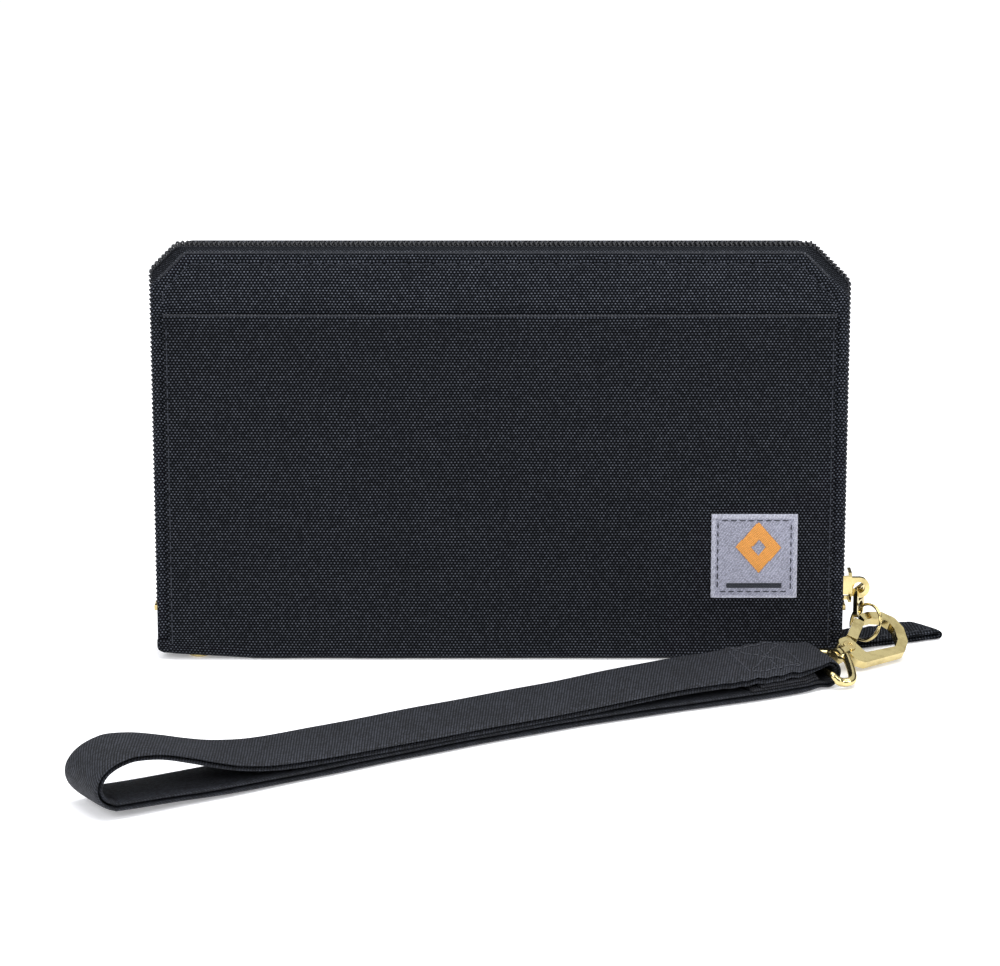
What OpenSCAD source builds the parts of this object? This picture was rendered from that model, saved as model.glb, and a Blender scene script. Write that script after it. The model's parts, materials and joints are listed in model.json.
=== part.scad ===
// Zip-around wallet with a removable wrist strap.
// Frame: X to the right, Y to the back, Z up. The origin is the middle of the spine's underside.

/* [Wallet] */
// Width across the covers
body_w = 200; // [170:1:220]
// Height from the rest surface to the covers' top edge
body_h = 121; // [118:1:135]
// Depth across the spine, with the slip pocket
spine_w = 25; // [24:0.5:30]
// Lean of each cover towards the zip, in degrees
cover_lean = 1.46; // [1.2:0.02:1.8]
// Cut of the upper left corner
left_cut = 10; // [8:0.5:14]
// Cut of the upper right corner
right_cut = 13; // [10:0.5:16]
// Height of the slip pocket's mouth
pocket_mouth = 102.5; // [90:0.5:105]
// Width of the edge binding
binding_w = 3.5; // [3:0.1:5]

/* [Zip] */
// How far the coil stands out past the covers' edge
coil_rise = 1.7; // [1.4:0.1:2.2]
// Height at which the zip ends, on both sides
zip_foot = 14; // [14:0.5:16]
// Middle height of the slider when the wallet is closed
slider_z = 19.2; // [19:0.2:22]

/* [Strap] */
// Width of the strap webbing
strap_w = 20; // [18:0.5:22]
// Thickness of one run of the strap, two plies
strap_t = 2.6; // [2:0.1:2.8]
// Radius of the bend that the strap lies in
strap_bend = 1170; // [900:10:2000]
// Length of the strap from the eye to the start of its open loop
strap_run = 184; // [150:1:200]
// Length of the open loop
loop_len = 44; // [40:1:60]

/* [Label] */
// Side of the square woven label
label_side = 25.6; // [20:0.2:30]

/* [Hidden] */
fine = 64;
tiny = 0.01;

navy = "#1c202b";
navy_light = "#272c38";
charcoal = "#232428";
gold = "#d8c48c";
label_grey = "#a8a9bd";
lining_grey = "#3a3d47";
board_grey = "#8b8578";

// Covers: layer thicknesses, outside to inside
panel_t = 0.9;
board_t = 1.4;
lining_t = 0.7;
pocket_t = 0.8;
cover_t = panel_t + board_t + lining_t;
cover_y = spine_w / 2 - panel_t;
cover_foot = 3.2;
slot_t = 0.6;
slot_tops = [96, 82, 68, 54];
slot_foot = 6;
slot_inset = 7;

// Spine
spine_t = 1.0;
spine_rise = 1.8;
rise_start = 28;

// Zip end tab
tab_near = -5;
tab_yaw = 22;
tab_w = 12.5;

// Zip
tape_t = 0.6;
tape_inset = 0.3;
coil_gap = 0.7;
coil_w = 2.0;
half_w = body_w / 2;
coil_out = half_w + coil_rise;
coil_in = half_w - tape_inset;

// Slider, measured from the middle of its height
slider_half = 4.6;
plate_t = 1.0;
plate_x = coil_out + 0.4;
bail_r = 3.1;
bail_hole = 1.7;
bail_x = plate_x + plate_t + 2.4;
bail_z = slider_z - 0.6;

// Pull link and ring
link_yaw = 25;
link_len = 6.3;
ring_r = 5.4;
ring_wire = 0.65;
link_eye = [bail_x, 0, bail_z - link_len];
ring_down = [0.343, -0.710, -0.615];
ring_side = [0.640, -0.300, 0.707];

// Clasp: its long direction, its face, and where the ring passes
clasp_long = [0.725, 0.684, 0.073];
clasp_face = [0.290, -0.400, 0.870];
ring_turn = 25;
clasp_t = 2.6;
ring_in_clasp = [16.34, 2.59];
pivot_at = [1.6, 0.8];
gate_reach = 13.3;
gate_angle = 29;

// Swivel eye and strap
eye_bar = 1.9;
eye_bar_z = 4.7;
eye_out = 10.7;
eye_in = 8.5;
eye_knee = 4.4;
eye_neck_half = 4.2;
collar_r = 2.5;
post_r = 1.0;
post_fit = 0.08;
strap_start = 21.5;
fold_w = strap_w - 4;
fold_r = 3.1;
low_run = 0.05;
high_run = 4.5;
tip_r = 7.45;
lap_from = 6;
lap_to = 26;

function unit(v) = v / norm(v);

// Points of an arc that rounds the corner b between a and c
function round_corner(a, b, c, r, steps = 5) =
    let (
        u = unit(a - b),
        v = unit(c - b),
        half = acos(u * v) / 2,
        centre = b + unit(u + v) * r / sin(half),
        start = b + u * r / tan(half),
        stop = b + v * r / tan(half),
        from = atan2(start.y - centre.y, start.x - centre.x),
        to = atan2(stop.y - centre.y, stop.x - centre.x),
        turn = (to - from + 540) % 360 - 180
    )
    [for (i = [0:steps]) centre + r * [cos(from + turn * i / steps), sin(from + turn * i / steps)]];

// An outline whose corners are rounded, each by its own radius; 0 leaves a corner sharp
function rounded(points, radii) =
    let (n = len(points))
    [for (i = [0:n - 1])
        each (radii[i] == 0 ? [points[i]]
            : round_corner(points[(i + n - 1) % n], points[i], points[(i + 1) % n], radii[i]))];

// Front outline of a cover, drawn in from its edge by inset, standing on foot
function cover_outline(inset, foot, soft = 3) =
    let (
        w = half_w - inset,
        top = body_h - inset,
        shrink = inset * (2 - sqrt(2)),
        cl = left_cut - shrink,
        cr = right_cut - shrink
    )
    rounded(
        [[-w, foot], [-w, top - cl], [-w + cl, top], [w - cr, top], [w, top - cr], [w, foot]],
        [0, soft, soft, soft + 3, soft + 3, 0]);

// A sheet of the given outline, standing upright between two depths
module upright(outline, y0, y1) {
    translate([0, y1, 0])
        rotate([90, 0, 0])
            linear_extrude(y1 - y0)
                polygon(outline);
}

// An upright strip along the left, top and right edges, between two insets
module edge_strip(outer, inner, foot, y0, y1) {
    difference() {
        upright(cover_outline(outer, foot), y0, y1);
        upright(cover_outline(inner, foot - 1), y0 - 1, y1 + 1);
    }
}

// Places a piece drawn with its outside at y = 0 and its inside towards +y on the front cover
module on_front() {
    translate([0, -cover_y, cover_foot])
        rotate([-cover_lean, 0, 0])
            translate([0, 0, -cover_foot])
                children();
}

module on_back() {
    mirror([0, 1, 0])
        on_front()
            children();
}

// A block from its low corner to its high corner
module block(low, high) {
    translate(low)
        cube(high - low);
}

// Turns a piece so that its x and z axes lie along the given directions
module aim(origin, along, up) {
    x = unit(along);
    z = unit(up - (up * x) * x);
    y = cross(z, x);
    multmatrix([
        [x.x, y.x, z.x, origin.x],
        [x.y, y.y, z.y, origin.y],
        [x.z, y.z, z.z, origin.z],
        [0, 0, 0, 1]])
        children();
}

// ---------- Spine ----------

function spine_line(z) = [
    [half_w, z], [-half_w + rise_start, z], [-half_w, z + spine_rise]];

function spine_profile(z0, z1) = concat(
    spine_line(z0),
    [for (i = [2:-1:0]) spine_line(z1)[i]]);

module spine_panel() {
    color(navy) {
        upright(spine_profile(0, spine_t), -spine_w / 2, spine_w / 2);
        upright(
            [[half_w, 0], [-half_w + rise_start, 0], [-half_w, spine_rise],
                [-half_w, cover_foot], [half_w, cover_foot]],
            -spine_w / 2, -spine_w / 2 + panel_t);
    }
}

module spine_lining() {
    color(lining_grey)
        upright(spine_profile(spine_t, spine_t + lining_t), -cover_y + cover_t + 0.3, cover_y - cover_t - 0.3);
}

// Domed rivet under the raised end of the spine
module spine_rivet() {
    color(gold)
        translate([-half_w + 12, -7, 0]) {
            translate([0, 0, 0.5])
                cylinder(h = 0.45, r = 3.2, $fn = fine);
            rotate_extrude($fn = fine)
                polygon(concat([[0, 0.5]], [[3.2, 0.5]], [for (a = [10:20:90]) [3.2 * cos(a), 0.5 - 0.5 * sin(a)]]));
            cylinder(h = 1.4, r = 1.1, $fn = fine);
        }
}

// Folded fabric tab that ends the zip, running out and back from the spine's right end
module zip_end_tab() {
    color(navy)
        difference() {
            translate([half_w, tab_near, 0])
                rotate([0, 0, tab_yaw])
                    upright(
                        [[0, 1.0], [4, 0.5], [9, 0.1], [33.4, 0.1], [34, 0.6], [34, 2.5],
                            [33.4, 3.1], [9, 3.2], [4, 3.4], [0, 3.5]],
                        0, tab_w);
            block([half_w - 20, tab_near - 10, -1], [half_w + 0.2, tab_near + 40, 10]);
        }
}

// ---------- Front cover ----------

module front_panel() {
    color(navy)
        on_front()
            upright(cover_outline(0, cover_foot), 0, panel_t);
}

module front_pocket() {
    edge = half_w - binding_w;
    color(navy_light)
        on_front()
            upright(
                [[-edge, cover_foot], [-edge, pocket_mouth], [edge, pocket_mouth], [edge, cover_foot]],
                -pocket_t, 0);
}

module front_binding() {
    color(navy)
        on_front()
            edge_strip(0, binding_w, cover_foot, -0.5, 0);
}

module front_board() {
    color(board_grey)
        on_front()
            upright(cover_outline(2, cover_foot + 1), panel_t, panel_t + board_t);
}

module front_lining() {
    color(lining_grey)
        on_front()
            upright(cover_outline(1, cover_foot), panel_t + board_t, cover_t);
}

module label_patch() {
    color(label_grey)
        on_front()
            block([73.2 - label_side / 2, -pocket_t - 0.6, 31.2 - label_side / 2],
                [73.2 + label_side / 2, -pocket_t, 31.2 + label_side / 2]);
}

// One shingled card slot panel, the first the tallest and the deepest
module card_slot(number) {
    edge = half_w - slot_inset;
    color(navy_light)
        on_front()
            block([-edge, cover_t + slot_t * (number - 1), slot_foot],
                [edge, cover_t + slot_t * number, slot_tops[number - 1]]);
}

// ---------- Zip ----------

// The space between the two covers' linings
module between_covers() {
    on_front()
        block([-half_w - 5, cover_t, -2], [half_w + 5, cover_t + 60, body_h + 5]);
}

module front_tape_shape() {
    intersection() {
        edge_strip(tape_inset, tape_inset + tape_t, zip_foot - 2, -spine_w, -coil_gap);
        between_covers();
    }
}

module front_coil_shape() {
    edge_strip(-coil_rise, tape_inset, zip_foot, -coil_gap - coil_w, -coil_gap);
}

// The two crimped blocks that end one half of the zip
module front_stops_shape() {
    for (side = [-1, 1])
        translate([side * (coil_in + 0.9), 0, 0])
            block([-0.9, -coil_gap - coil_w - 0.2, zip_foot - 1.7], [0.9, -coil_gap, zip_foot - 0.1]);
}

module front_zip_tape() {
    color(charcoal)
        front_tape_shape();
}

module front_zip_coil() {
    color("#111216")
        front_coil_shape();
}

module front_zip_stops() {
    color(gold)
        front_stops_shape();
}

module back_zip_tape() {
    color(charcoal)
        mirror([0, 1, 0])
            front_tape_shape();
}

module back_zip_coil() {
    color("#111216")
        mirror([0, 1, 0])
            front_coil_shape();
}

module back_zip_stops() {
    color(gold)
        mirror([0, 1, 0])
            front_stops_shape();
}

// ---------- Back cover ----------

module back_panel() {
    color(navy)
        on_back()
            upright(cover_outline(0, cover_foot), 0, panel_t);
}

module back_binding() {
    color(navy)
        on_back()
            edge_strip(0, binding_w, cover_foot, -0.5, 0);
}

module back_board() {
    color(board_grey)
        on_back()
            upright(cover_outline(2, cover_foot + 1), panel_t, panel_t + board_t);
}

module back_lining() {
    color(lining_grey)
        on_back()
            upright(cover_outline(1, cover_foot), panel_t + board_t, cover_t);
}

pocket_edge = half_w - slot_inset;
bill_t = 0.6;
coin_wall = 0.6;
coin_room = 0.8;
coin_low = 8;
coin_split = 76;
coin_top = 96;
coin_band = 5;
coin_y = cover_t + bill_t + coin_room;

module bill_pocket() {
    color(navy_light)
        on_back()
            block([-pocket_edge, cover_t, 6], [pocket_edge, cover_t + bill_t, 100]);
}

// The coin pocket's lower panel, with its closed sides and foot
module coin_pocket_lower() {
    color(lining_grey)
        on_back() {
            block([-pocket_edge, coin_y, coin_low], [pocket_edge, coin_y + coin_wall, coin_split]);
            for (side = [-1, 1])
                translate([side * (pocket_edge - 1), 0, 0])
                    block([-1, cover_t + bill_t, coin_low], [1, coin_y + coin_wall, coin_split]);
            block([-pocket_edge, cover_t + bill_t, coin_low], [pocket_edge, coin_y + coin_wall, coin_low + 2]);
        }
}

module coin_pocket_upper() {
    color(lining_grey)
        on_back()
            block([-pocket_edge, cover_t + bill_t, coin_split + coin_band],
                [pocket_edge, coin_y + coin_wall, coin_top]);
}

// Two tapes with a narrow gap between them
module coin_zip_tape() {
    middle = coin_split + coin_band / 2;
    color(charcoal)
        on_back() {
            block([-pocket_edge, coin_y, coin_split], [pocket_edge, coin_y + 0.5, middle - 0.5]);
            block([-pocket_edge, coin_y, middle + 0.5], [pocket_edge, coin_y + 0.5, coin_split + coin_band]);
        }
}

module coin_zip_coil() {
    middle = coin_split + coin_band / 2;
    color("#111216")
        on_back()
            for (side = [-1, 1])
                translate([0, 0, middle + side * 1.2])
                    block([-pocket_edge + 2, coin_y + 0.5, -0.7], [pocket_edge - 2, coin_y + 1.5, 0.7]);
}

coin_slider_x = -84;

module coin_slider() {
    middle = coin_split + coin_band / 2;
    top = coin_y + 1.8;
    color(gold)
        on_back()
            translate([coin_slider_x, 0, middle]) {
                block([-4, top, -3], [4, top + 0.7, 3]);
                translate([1, top + 0.7, 0])
                    difference() {
                        block([-1.6, -tiny, -0.8], [1.6, 2.2, 0.8]);
                        translate([0, 1, -1])
                            cylinder(h = 2, r = 0.65, $fn = fine);
                    }
            }
}

coin_pin = [coin_slider_x + 1, coin_y + 1.8 + 0.7 + 1];

// Puller of the coin pocket, hung by its pin from the slider
module coin_puller() {
    middle = coin_split + coin_band / 2;
    color(gold)
        on_back()
            translate([coin_pin.x, coin_pin.y, middle]) {
                translate([0, 0, -2])
                    cylinder(h = 4, r = 0.45, $fn = fine);
                for (side = [-1, 1])
                    block([-0.5, -0.45, side * 1.5 - 0.5], [16, 0.45, side * 1.5 + 0.5]);
                block([3.4, -0.45, -1.9], [16, 0.45, 1.9]);
            }
}

// ---------- Slider, pull link and ring ----------

// Slider face seen from the side: narrow at the nose, which points down
function slider_face(half) = [
    [-half * 0.62, -slider_half], [half * 0.62, -slider_half], [half, -slider_half + 3],
    [half, slider_half - 1], [half * 0.8, slider_half], [-half * 0.8, slider_half],
    [-half, slider_half - 1], [-half, -slider_half + 3]];

// A plate of the slider between two depths along x
module slider_plate(x0, x1, half) {
    translate([x0, 0, slider_z])
        rotate([90, 0, 90])
            linear_extrude(x1 - x0)
                polygon(slider_face(half));
}

module zip_slider() {
    low = coil_in - tape_t - 1.1;
    color(gold) {
        slider_plate(plate_x, plate_x + plate_t, 3.6);
        slider_plate(low - 0.9, low, 3.4);
        block([low - tiny, -0.35, slider_z - slider_half + 0.2],
            [plate_x + tiny, 0.35, slider_z - slider_half + 1.4]);
        block([coil_in + 0.5, -3.7, slider_z - slider_half + 2.8],
            [plate_x + tiny, -3.1, slider_z + slider_half - 0.8]);
        difference() {
            union() {
                translate([bail_x, 0.8, bail_z])
                    rotate([90, 0, 0])
                        cylinder(h = 1.6, r = bail_r, $fn = fine);
                block([plate_x + plate_t - tiny, -0.8, bail_z - 2.6], [bail_x, 0.8, bail_z + 3.1]);
            }
            translate([bail_x, 2, bail_z])
                rotate([90, 0, 0])
                    cylinder(h = 4, r = bail_hole, $fn = fine);
        }
    }
}

// Outline of the pull link, hanging along -y from the middle of its top bar
link_half = 3.0;
link_outline = concat(
    [[link_half, 0]],
    [for (a = [-10:-20:-170]) [link_half * cos(a), -link_len + link_half * sin(a)]],
    [[-link_half, 0]]);

module pull_link() {
    color(gold)
        aim([bail_x, 0, bail_z], [sin(link_yaw), cos(link_yaw), 0], [cos(link_yaw), -sin(link_yaw), 0])
            rotate([180, 0, 0])
                mirror([0, 1, 0])
                    mirror([0, 0, 1]) {
                        difference() {
                            translate([0, 0, -0.65])
                                linear_extrude(1.3)
                                    polygon(link_outline);
                            translate([0, -link_len, -1])
                                cylinder(h = 2, r = 2.15, $fn = fine);
                            block([-1.8, -3.7, -1], [1.8, 1, 1]);
                        }
                        rotate([0, 90, 0])
                            translate([0, 0, -link_half])
                                cylinder(h = 2 * link_half, r = 0.65, $fn = fine);
                    }
}

ring_face = unit(cross(ring_down, ring_side));
ring_centre = link_eye + ring_r * unit(ring_down);

module split_ring() {
    color(gold)
        aim(ring_centre, ring_down, ring_face)
            rotate_extrude($fn = fine)
                translate([ring_r, 0])
                    circle(r = ring_wire, $fn = 24);
}

// ---------- Clasp ----------

clasp_x = unit(clasp_long);
clasp_z = unit(clasp_face - (clasp_face * clasp_x) * clasp_x);
clasp_y = cross(clasp_z, clasp_x);
ring_spot = ring_centre
    + ring_r * (cos(ring_turn) * unit(ring_down) + sin(ring_turn) * cross(ring_face, unit(ring_down)));
clasp_origin = ring_spot - ring_in_clasp.x * clasp_x - ring_in_clasp.y * clasp_y;

module on_clasp() {
    aim(clasp_origin, clasp_x, clasp_z)
        children();
}

frame_outline = rounded(
    [[-0.6, -4.6], [1.4, -6.6], [16.6, -8.4], [21.0, -5.4], [24.0, -0.6], [24.4, 3.8], [22.2, 7.4],
        [17.8, 9.3], [14.6, 9.4], [14.4, 6.9], [17.2, 6.6], [20.4, 5.0], [21.2, 2.6], [20.8, 0.2],
        [18.4, -3.6], [15.6, -5.3], [4.6, -3.4], [4.2, 3.2], [3.0, 4.2], [-0.6, 4.2]],
    [1.5, 1.0, 2.0, 1.5, 1.5, 1.5, 1.5, 1.0, 0.4, 0.4, 0.6, 0.6, 0.6, 0.6, 0.8, 0.8, 0.8, 0.8, 0.8, 1.5]);

module clasp_frame() {
    color(gold)
        on_clasp()
            difference() {
                union() {
                    translate([0, 0, -clasp_t / 2])
                        linear_extrude(clasp_t)
                            polygon(frame_outline);
                    translate([-0.4, 0, 0])
                        rotate([0, -90, 0])
                            cylinder(h = 2.2, r = 2.2, $fn = fine);
                }
                translate([pivot_at.x, pivot_at.y, -3])
                    cylinder(h = 6, r = 0.8, $fn = fine);
                translate([pivot_at.x, pivot_at.y, -0.85])
                    cylinder(h = 1.7, r = 3.1, $fn = fine);
                block([1.0, 0.4, -0.85], [8, 12, 0.85]);
            }
}

module gate_rivet() {
    color(gold)
        on_clasp()
            translate([pivot_at.x, pivot_at.y, 0])
                difference() {
                    union() {
                        translate([0, 0, -clasp_t / 2])
                            cylinder(h = clasp_t, r = 0.78, $fn = fine);
                        for (side = [-1, 1])
                            translate([0, 0, side * (clasp_t / 2 + 0.25) - 0.25])
                                cylinder(h = 0.5, r = 1.9, $fn = fine);
                    }
                    translate([0, 0, clasp_t / 2 + 0.2])
                        cylinder(h = 1, r = 0.7, $fn = fine);
                }
}

// Torsion spring of the gate, a short band behind the gate's hub
module gate_spring() {
    color("silver")
        on_clasp()
            translate([pivot_at.x, pivot_at.y, 0])
                rotate([0, 0, 130])
                    rotate_extrude(angle = 130, $fn = fine)
                        translate([2.6, -0.4])
                            square([0.35, 0.8]);
}

// The gate: a hub round the rivet, an arm up to the nose, and a thumb stub
module clasp_gate() {
    color(gold)
        on_clasp()
            translate([pivot_at.x, pivot_at.y, 0])
                rotate([0, 0, gate_angle])
                    difference() {
                        union() {
                            translate([0, 0, -0.7])
                                cylinder(h = 1.4, r = 2.5, $fn = fine);
                            translate([0, 0, -0.7])
                                linear_extrude(1.4)
                                    polygon([[0, -1.6], [5, -1.2], [5, 1.9], [0, 2.4]]);
                            translate([0, 0, -clasp_t / 2])
                                linear_extrude(clasp_t)
                                    polygon([[4.2, -1.3], [gate_reach - 0.6, -1.1], [gate_reach, -0.7],
                                        [gate_reach, 2.1], [4.2, 1.9]]);
                        }
                        translate([0, 0, -2])
                            cylinder(h = 4, r = 0.83, $fn = fine);
                    }
}

// ---------- Swivel eye and strap ----------

// Direction in which the strap leaves the eye
strap_way = [-cos(strap_start), -sin(strap_start), 0];
strap_left = [sin(strap_start), -cos(strap_start), 0];
post_base = clasp_origin - 2.6 * clasp_x;
collar = clasp_origin - 4.0 * clasp_x;
eye_rough = clasp_origin - 13.5 * clasp_x;
eye_centre = [eye_rough.x, eye_rough.y, eye_bar_z];

module swivel_post() {
    color(gold)
        aim(post_base, clasp_x, clasp_z)
            rotate([0, -90, 0]) {
                cylinder(h = 2.6, r = post_r, $fn = fine);
                translate([0, 0, 2.0])
                    cylinder(h = 0.7, r = 1.7, $fn = fine);
            }
}

// A round cut along the clasp's long axis, between two distances behind its origin
module post_cut(from, to, r) {
    aim(clasp_origin - from * clasp_x, clasp_x, clasp_z)
        rotate([0, -90, 0])
            cylinder(h = to - from, r = r, $fn = fine);
}

clasp_run = unit([clasp_x.x, clasp_x.y]);

// A point of the eye's plan, behind the clasp's origin and to one side of the clasp's axis
function at_neck(behind, side) =
    [clasp_origin.x, clasp_origin.y] - behind * clasp_run + side * [-clasp_run.y, clasp_run.x];

// A point of the eye's plan, from its bar towards the clasp and along the bar
function at_bar(ahead, side) =
    [eye_centre.x, eye_centre.y] - ahead * [strap_way.x, strap_way.y] + side * [strap_left.x, strap_left.y];

function eye_outline(bar, out, knee, behind, neck) = [
    at_bar(bar, -out), at_bar(bar, out), at_bar(knee, out),
    at_neck(behind, -neck), at_neck(behind, neck), at_bar(knee, -out)];

// A flat D-shaped eye whose neck carries a collar round the swivel post
module swivel_eye() {
    color(gold)
        difference() {
            union() {
                translate([0, 0, eye_bar_z - eye_bar / 2])
                    linear_extrude(eye_bar)
                        difference() {
                            polygon(eye_outline(-eye_bar / 2, eye_out, eye_knee, 3.45, eye_neck_half));
                            polygon(eye_outline(eye_bar / 2, eye_in, eye_knee - 1.1, 4.35, eye_neck_half - 1.9));
                        }
                post_cut(3.3, 4.5, collar_r);
            }
            post_cut(2.5, 5, post_r + post_fit);
        }
}

// Runs of the strap as the bend follows it: a rectangle turned about the bend's centre
module strap_arc(z0, z1, from, to) {
    rate = 180 / (PI * strap_bend);
    translate(eye_centre - [0, 0, eye_centre.z])
        rotate([0, 0, 180 + strap_start])
            translate([0, strap_bend, 0])
                rotate([0, 0, -90 + from * rate])
                    rotate_extrude(angle = (to - from) * rate, $fn = 256)
                        translate([strap_bend - strap_w / 2, z0])
                            square([strap_w, z1 - z0]);
}

// Places a side profile, drawn in x and y, upright at the far end of the strap's bend
module at_strap_end(run) {
    angle = run * 180 / (PI * strap_bend);
    translate(eye_centre - [0, 0, eye_centre.z])
        rotate([0, 0, 180 + strap_start])
            translate([0, strap_bend, 0])
                rotate([0, 0, angle])
                    translate([0, -strap_bend + strap_w / 2, 0])
                        rotate([90, 0, 0])
                            linear_extrude(strap_w)
                                children();
}

// Middle line of the upper run: a smooth rise from the stack to the top of the tip
high_mid = high_run + strap_t / 2;
low_mid = low_run + strap_t / 2;
tip_mid = tip_r - strap_t / 2;
tip_x = loop_len - tip_r;
tip_z = low_run + tip_r + 0.35;
rise_steps = 12;
function ease(t) = t * t * (3 - 2 * t);
function upper_line(t) = [t * tip_x, high_mid + (tip_z + tip_mid - high_mid) * ease(t)];
function lower_line(t) = [t * tip_x, low_mid + (tip_z - tip_mid - low_mid) * ease(t)];
loop_line = concat(
    [for (i = [0:rise_steps]) upper_line(i / rise_steps)],
    [for (a = [75:-15:-75]) [tip_x + tip_mid * cos(a), tip_z + tip_mid * sin(a)]],
    [for (i = [rise_steps:-1:0]) lower_line(i / rise_steps)]);

// The line moved to one side by a distance, point by point
function beside(line, away) =
    [for (i = [0:len(line) - 1])
        let (
            last = len(line) - 1,
            a = i == 0 ? [line[0].x - 1, line[0].y] : line[i - 1],
            b = i == last ? [line[last].x - 1, line[last].y] : line[i + 1],
            way = unit(b - a)
        )
        line[i] + away * [-way.y, way.x]];

module strap_runs() {
    color(charcoal) {
        strap_arc(low_run, low_run + strap_t, lap_to, strap_run);
        strap_arc(high_run, high_run + strap_t, lap_to, strap_run);
    }
}

// The open loop for the wrist, where the upper run turns over into the lower one
module strap_loop() {
    loop_shape = concat(
        beside(loop_line, strap_t / 2),
        [for (i = [len(loop_line) - 1:-1:0]) beside(loop_line, -strap_t / 2)[i]]);
    color(charcoal)
        at_strap_end(strap_run)
            polygon(loop_shape);
}

// Side outline of the fold round the eye's bar, whose middle is the origin
fold_outline = concat(
    [for (a = [0:15:180]) fold_r * [-sin(a), cos(a)]],
    [[lap_from + 1, -fold_r], [lap_from + 1, fold_r]]);

// The strap's sewn end: a thick lap over both runs, and the fold round the eye's bar
module strap_end_lap() {
    color(charcoal)
        difference() {
            union() {
                strap_arc(low_run, 8.6, lap_from, lap_to);
                translate(eye_centre)
                    rotate([0, 0, 180 + strap_start])
                        translate([0, fold_w / 2, 0])
                            rotate([90, 0, 0])
                                linear_extrude(fold_w)
                                    polygon(fold_outline);
            }
            aim(eye_centre + strap_w * strap_left, -strap_left, [0, 0, 1])
                rotate([0, 90, 0])
                    cylinder(h = 2 * strap_w, r = eye_bar * 0.79, $fn = fine);
        }
}

spine_panel();
spine_lining();
spine_rivet();
zip_end_tab();
front_panel();
front_pocket();
front_binding();
front_board();
front_lining();
front_zip_tape();
front_zip_coil();
front_zip_stops();
label_patch();
card_slot(1);  // card_slot_1
card_slot(2);  // card_slot_2
card_slot(3);  // card_slot_3
card_slot(4);  // card_slot_4
back_panel();
back_binding();
back_board();
back_lining();
back_zip_tape();
back_zip_coil();
back_zip_stops();
bill_pocket();
coin_pocket_lower();
coin_pocket_upper();
coin_zip_tape();
coin_zip_coil();
zip_slider();
pull_link();
split_ring();
clasp_frame();
gate_rivet();
gate_spring();
clasp_gate();
swivel_post();
swivel_eye();
strap_runs();
strap_loop();
strap_end_lap();
coin_slider();
coin_puller();
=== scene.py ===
"""Looks of a long zip-around canvas wallet with a wrist strap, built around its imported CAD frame."""

import json
import math

import bmesh
import bpy
import numpy as np
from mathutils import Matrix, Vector

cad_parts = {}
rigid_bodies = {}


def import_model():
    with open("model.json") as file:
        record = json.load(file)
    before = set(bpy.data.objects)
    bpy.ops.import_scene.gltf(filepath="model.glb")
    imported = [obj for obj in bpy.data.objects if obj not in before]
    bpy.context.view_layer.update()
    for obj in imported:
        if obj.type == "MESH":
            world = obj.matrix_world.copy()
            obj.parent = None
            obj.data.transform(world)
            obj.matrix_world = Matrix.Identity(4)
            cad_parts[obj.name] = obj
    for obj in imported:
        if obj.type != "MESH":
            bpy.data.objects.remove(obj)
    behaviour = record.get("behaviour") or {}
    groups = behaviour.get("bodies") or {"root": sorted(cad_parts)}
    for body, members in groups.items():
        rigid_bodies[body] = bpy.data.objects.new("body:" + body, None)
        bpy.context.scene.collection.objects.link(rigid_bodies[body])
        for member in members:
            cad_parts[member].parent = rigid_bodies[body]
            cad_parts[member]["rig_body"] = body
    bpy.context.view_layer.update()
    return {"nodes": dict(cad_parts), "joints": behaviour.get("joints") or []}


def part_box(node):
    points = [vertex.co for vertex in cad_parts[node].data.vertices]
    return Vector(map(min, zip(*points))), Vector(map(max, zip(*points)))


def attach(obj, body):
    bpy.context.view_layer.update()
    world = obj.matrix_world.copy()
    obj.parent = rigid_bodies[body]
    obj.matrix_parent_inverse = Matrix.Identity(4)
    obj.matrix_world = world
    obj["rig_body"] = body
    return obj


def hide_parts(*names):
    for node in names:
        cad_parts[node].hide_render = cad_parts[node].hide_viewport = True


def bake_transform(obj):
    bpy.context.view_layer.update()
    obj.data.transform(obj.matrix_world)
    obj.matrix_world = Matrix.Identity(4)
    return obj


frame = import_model()

MM = 0.001
UP = np.array([0, 0, 1.0])
TAU = 2 * math.pi

# ---------- Sizes taken from the frame, in millimetres ----------


def box_mm(node):
    low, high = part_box(node)
    return np.array(low) / MM, np.array(high) / MM


JOINTS = {joint["name"]: joint for joint in frame["joints"]}


def joint_point(name):
    return np.array(JOINTS[name]["pos_m"]) / MM


def joint_axis(name):
    axis = np.array(JOINTS[name]["axis"], float)
    return axis / np.linalg.norm(axis)


PANEL_LOW, PANEL_HIGH = box_mm("front_panel")
FOOT = PANEL_LOW[2]
TOP = PANEL_HIGH[2]
HALF_W = PANEL_HIGH[0]
SPINE_HALF = box_mm("spine_panel")[1][1]
POCKET_TOP = box_mm("front_pocket")[1][2]
LABEL_LOW, LABEL_HIGH = box_mm("label_patch")
COIL_FOOT = box_mm("front_zip_coil")[0][2]

PANEL_T = 0.9
COVER_T = 3.0
COVER_Y = SPINE_HALF - PANEL_T
LEAN = math.radians(1.46)
LEFT_CUT = 10.0
RIGHT_CUT = 13.0
CORNER_R = 3.0
RISE_START = 28.0
RISE = 1.8


# ---------- Small geometry helpers ----------


def unit(v):
    v = np.asarray(v, float)
    return v / np.linalg.norm(v)


def smooth(t):
    t = np.clip(t, 0, 1)
    return t * t * (3 - 2 * t)


def squared(wave, power):
    """Flattens the crests of a wave between -1 and 1. The smaller the power, the flatter they are."""
    return np.sign(wave) * np.abs(wave) ** power


def compass(angle):
    """The flat direction at an angle from the x axis."""
    return np.array([math.cos(angle), math.sin(angle)])


def arc_points(first, last, count):
    """Angles in radians, evenly spaced between two angles in degrees."""
    return [math.radians(angle) for angle in np.linspace(first, last, count)]


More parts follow.
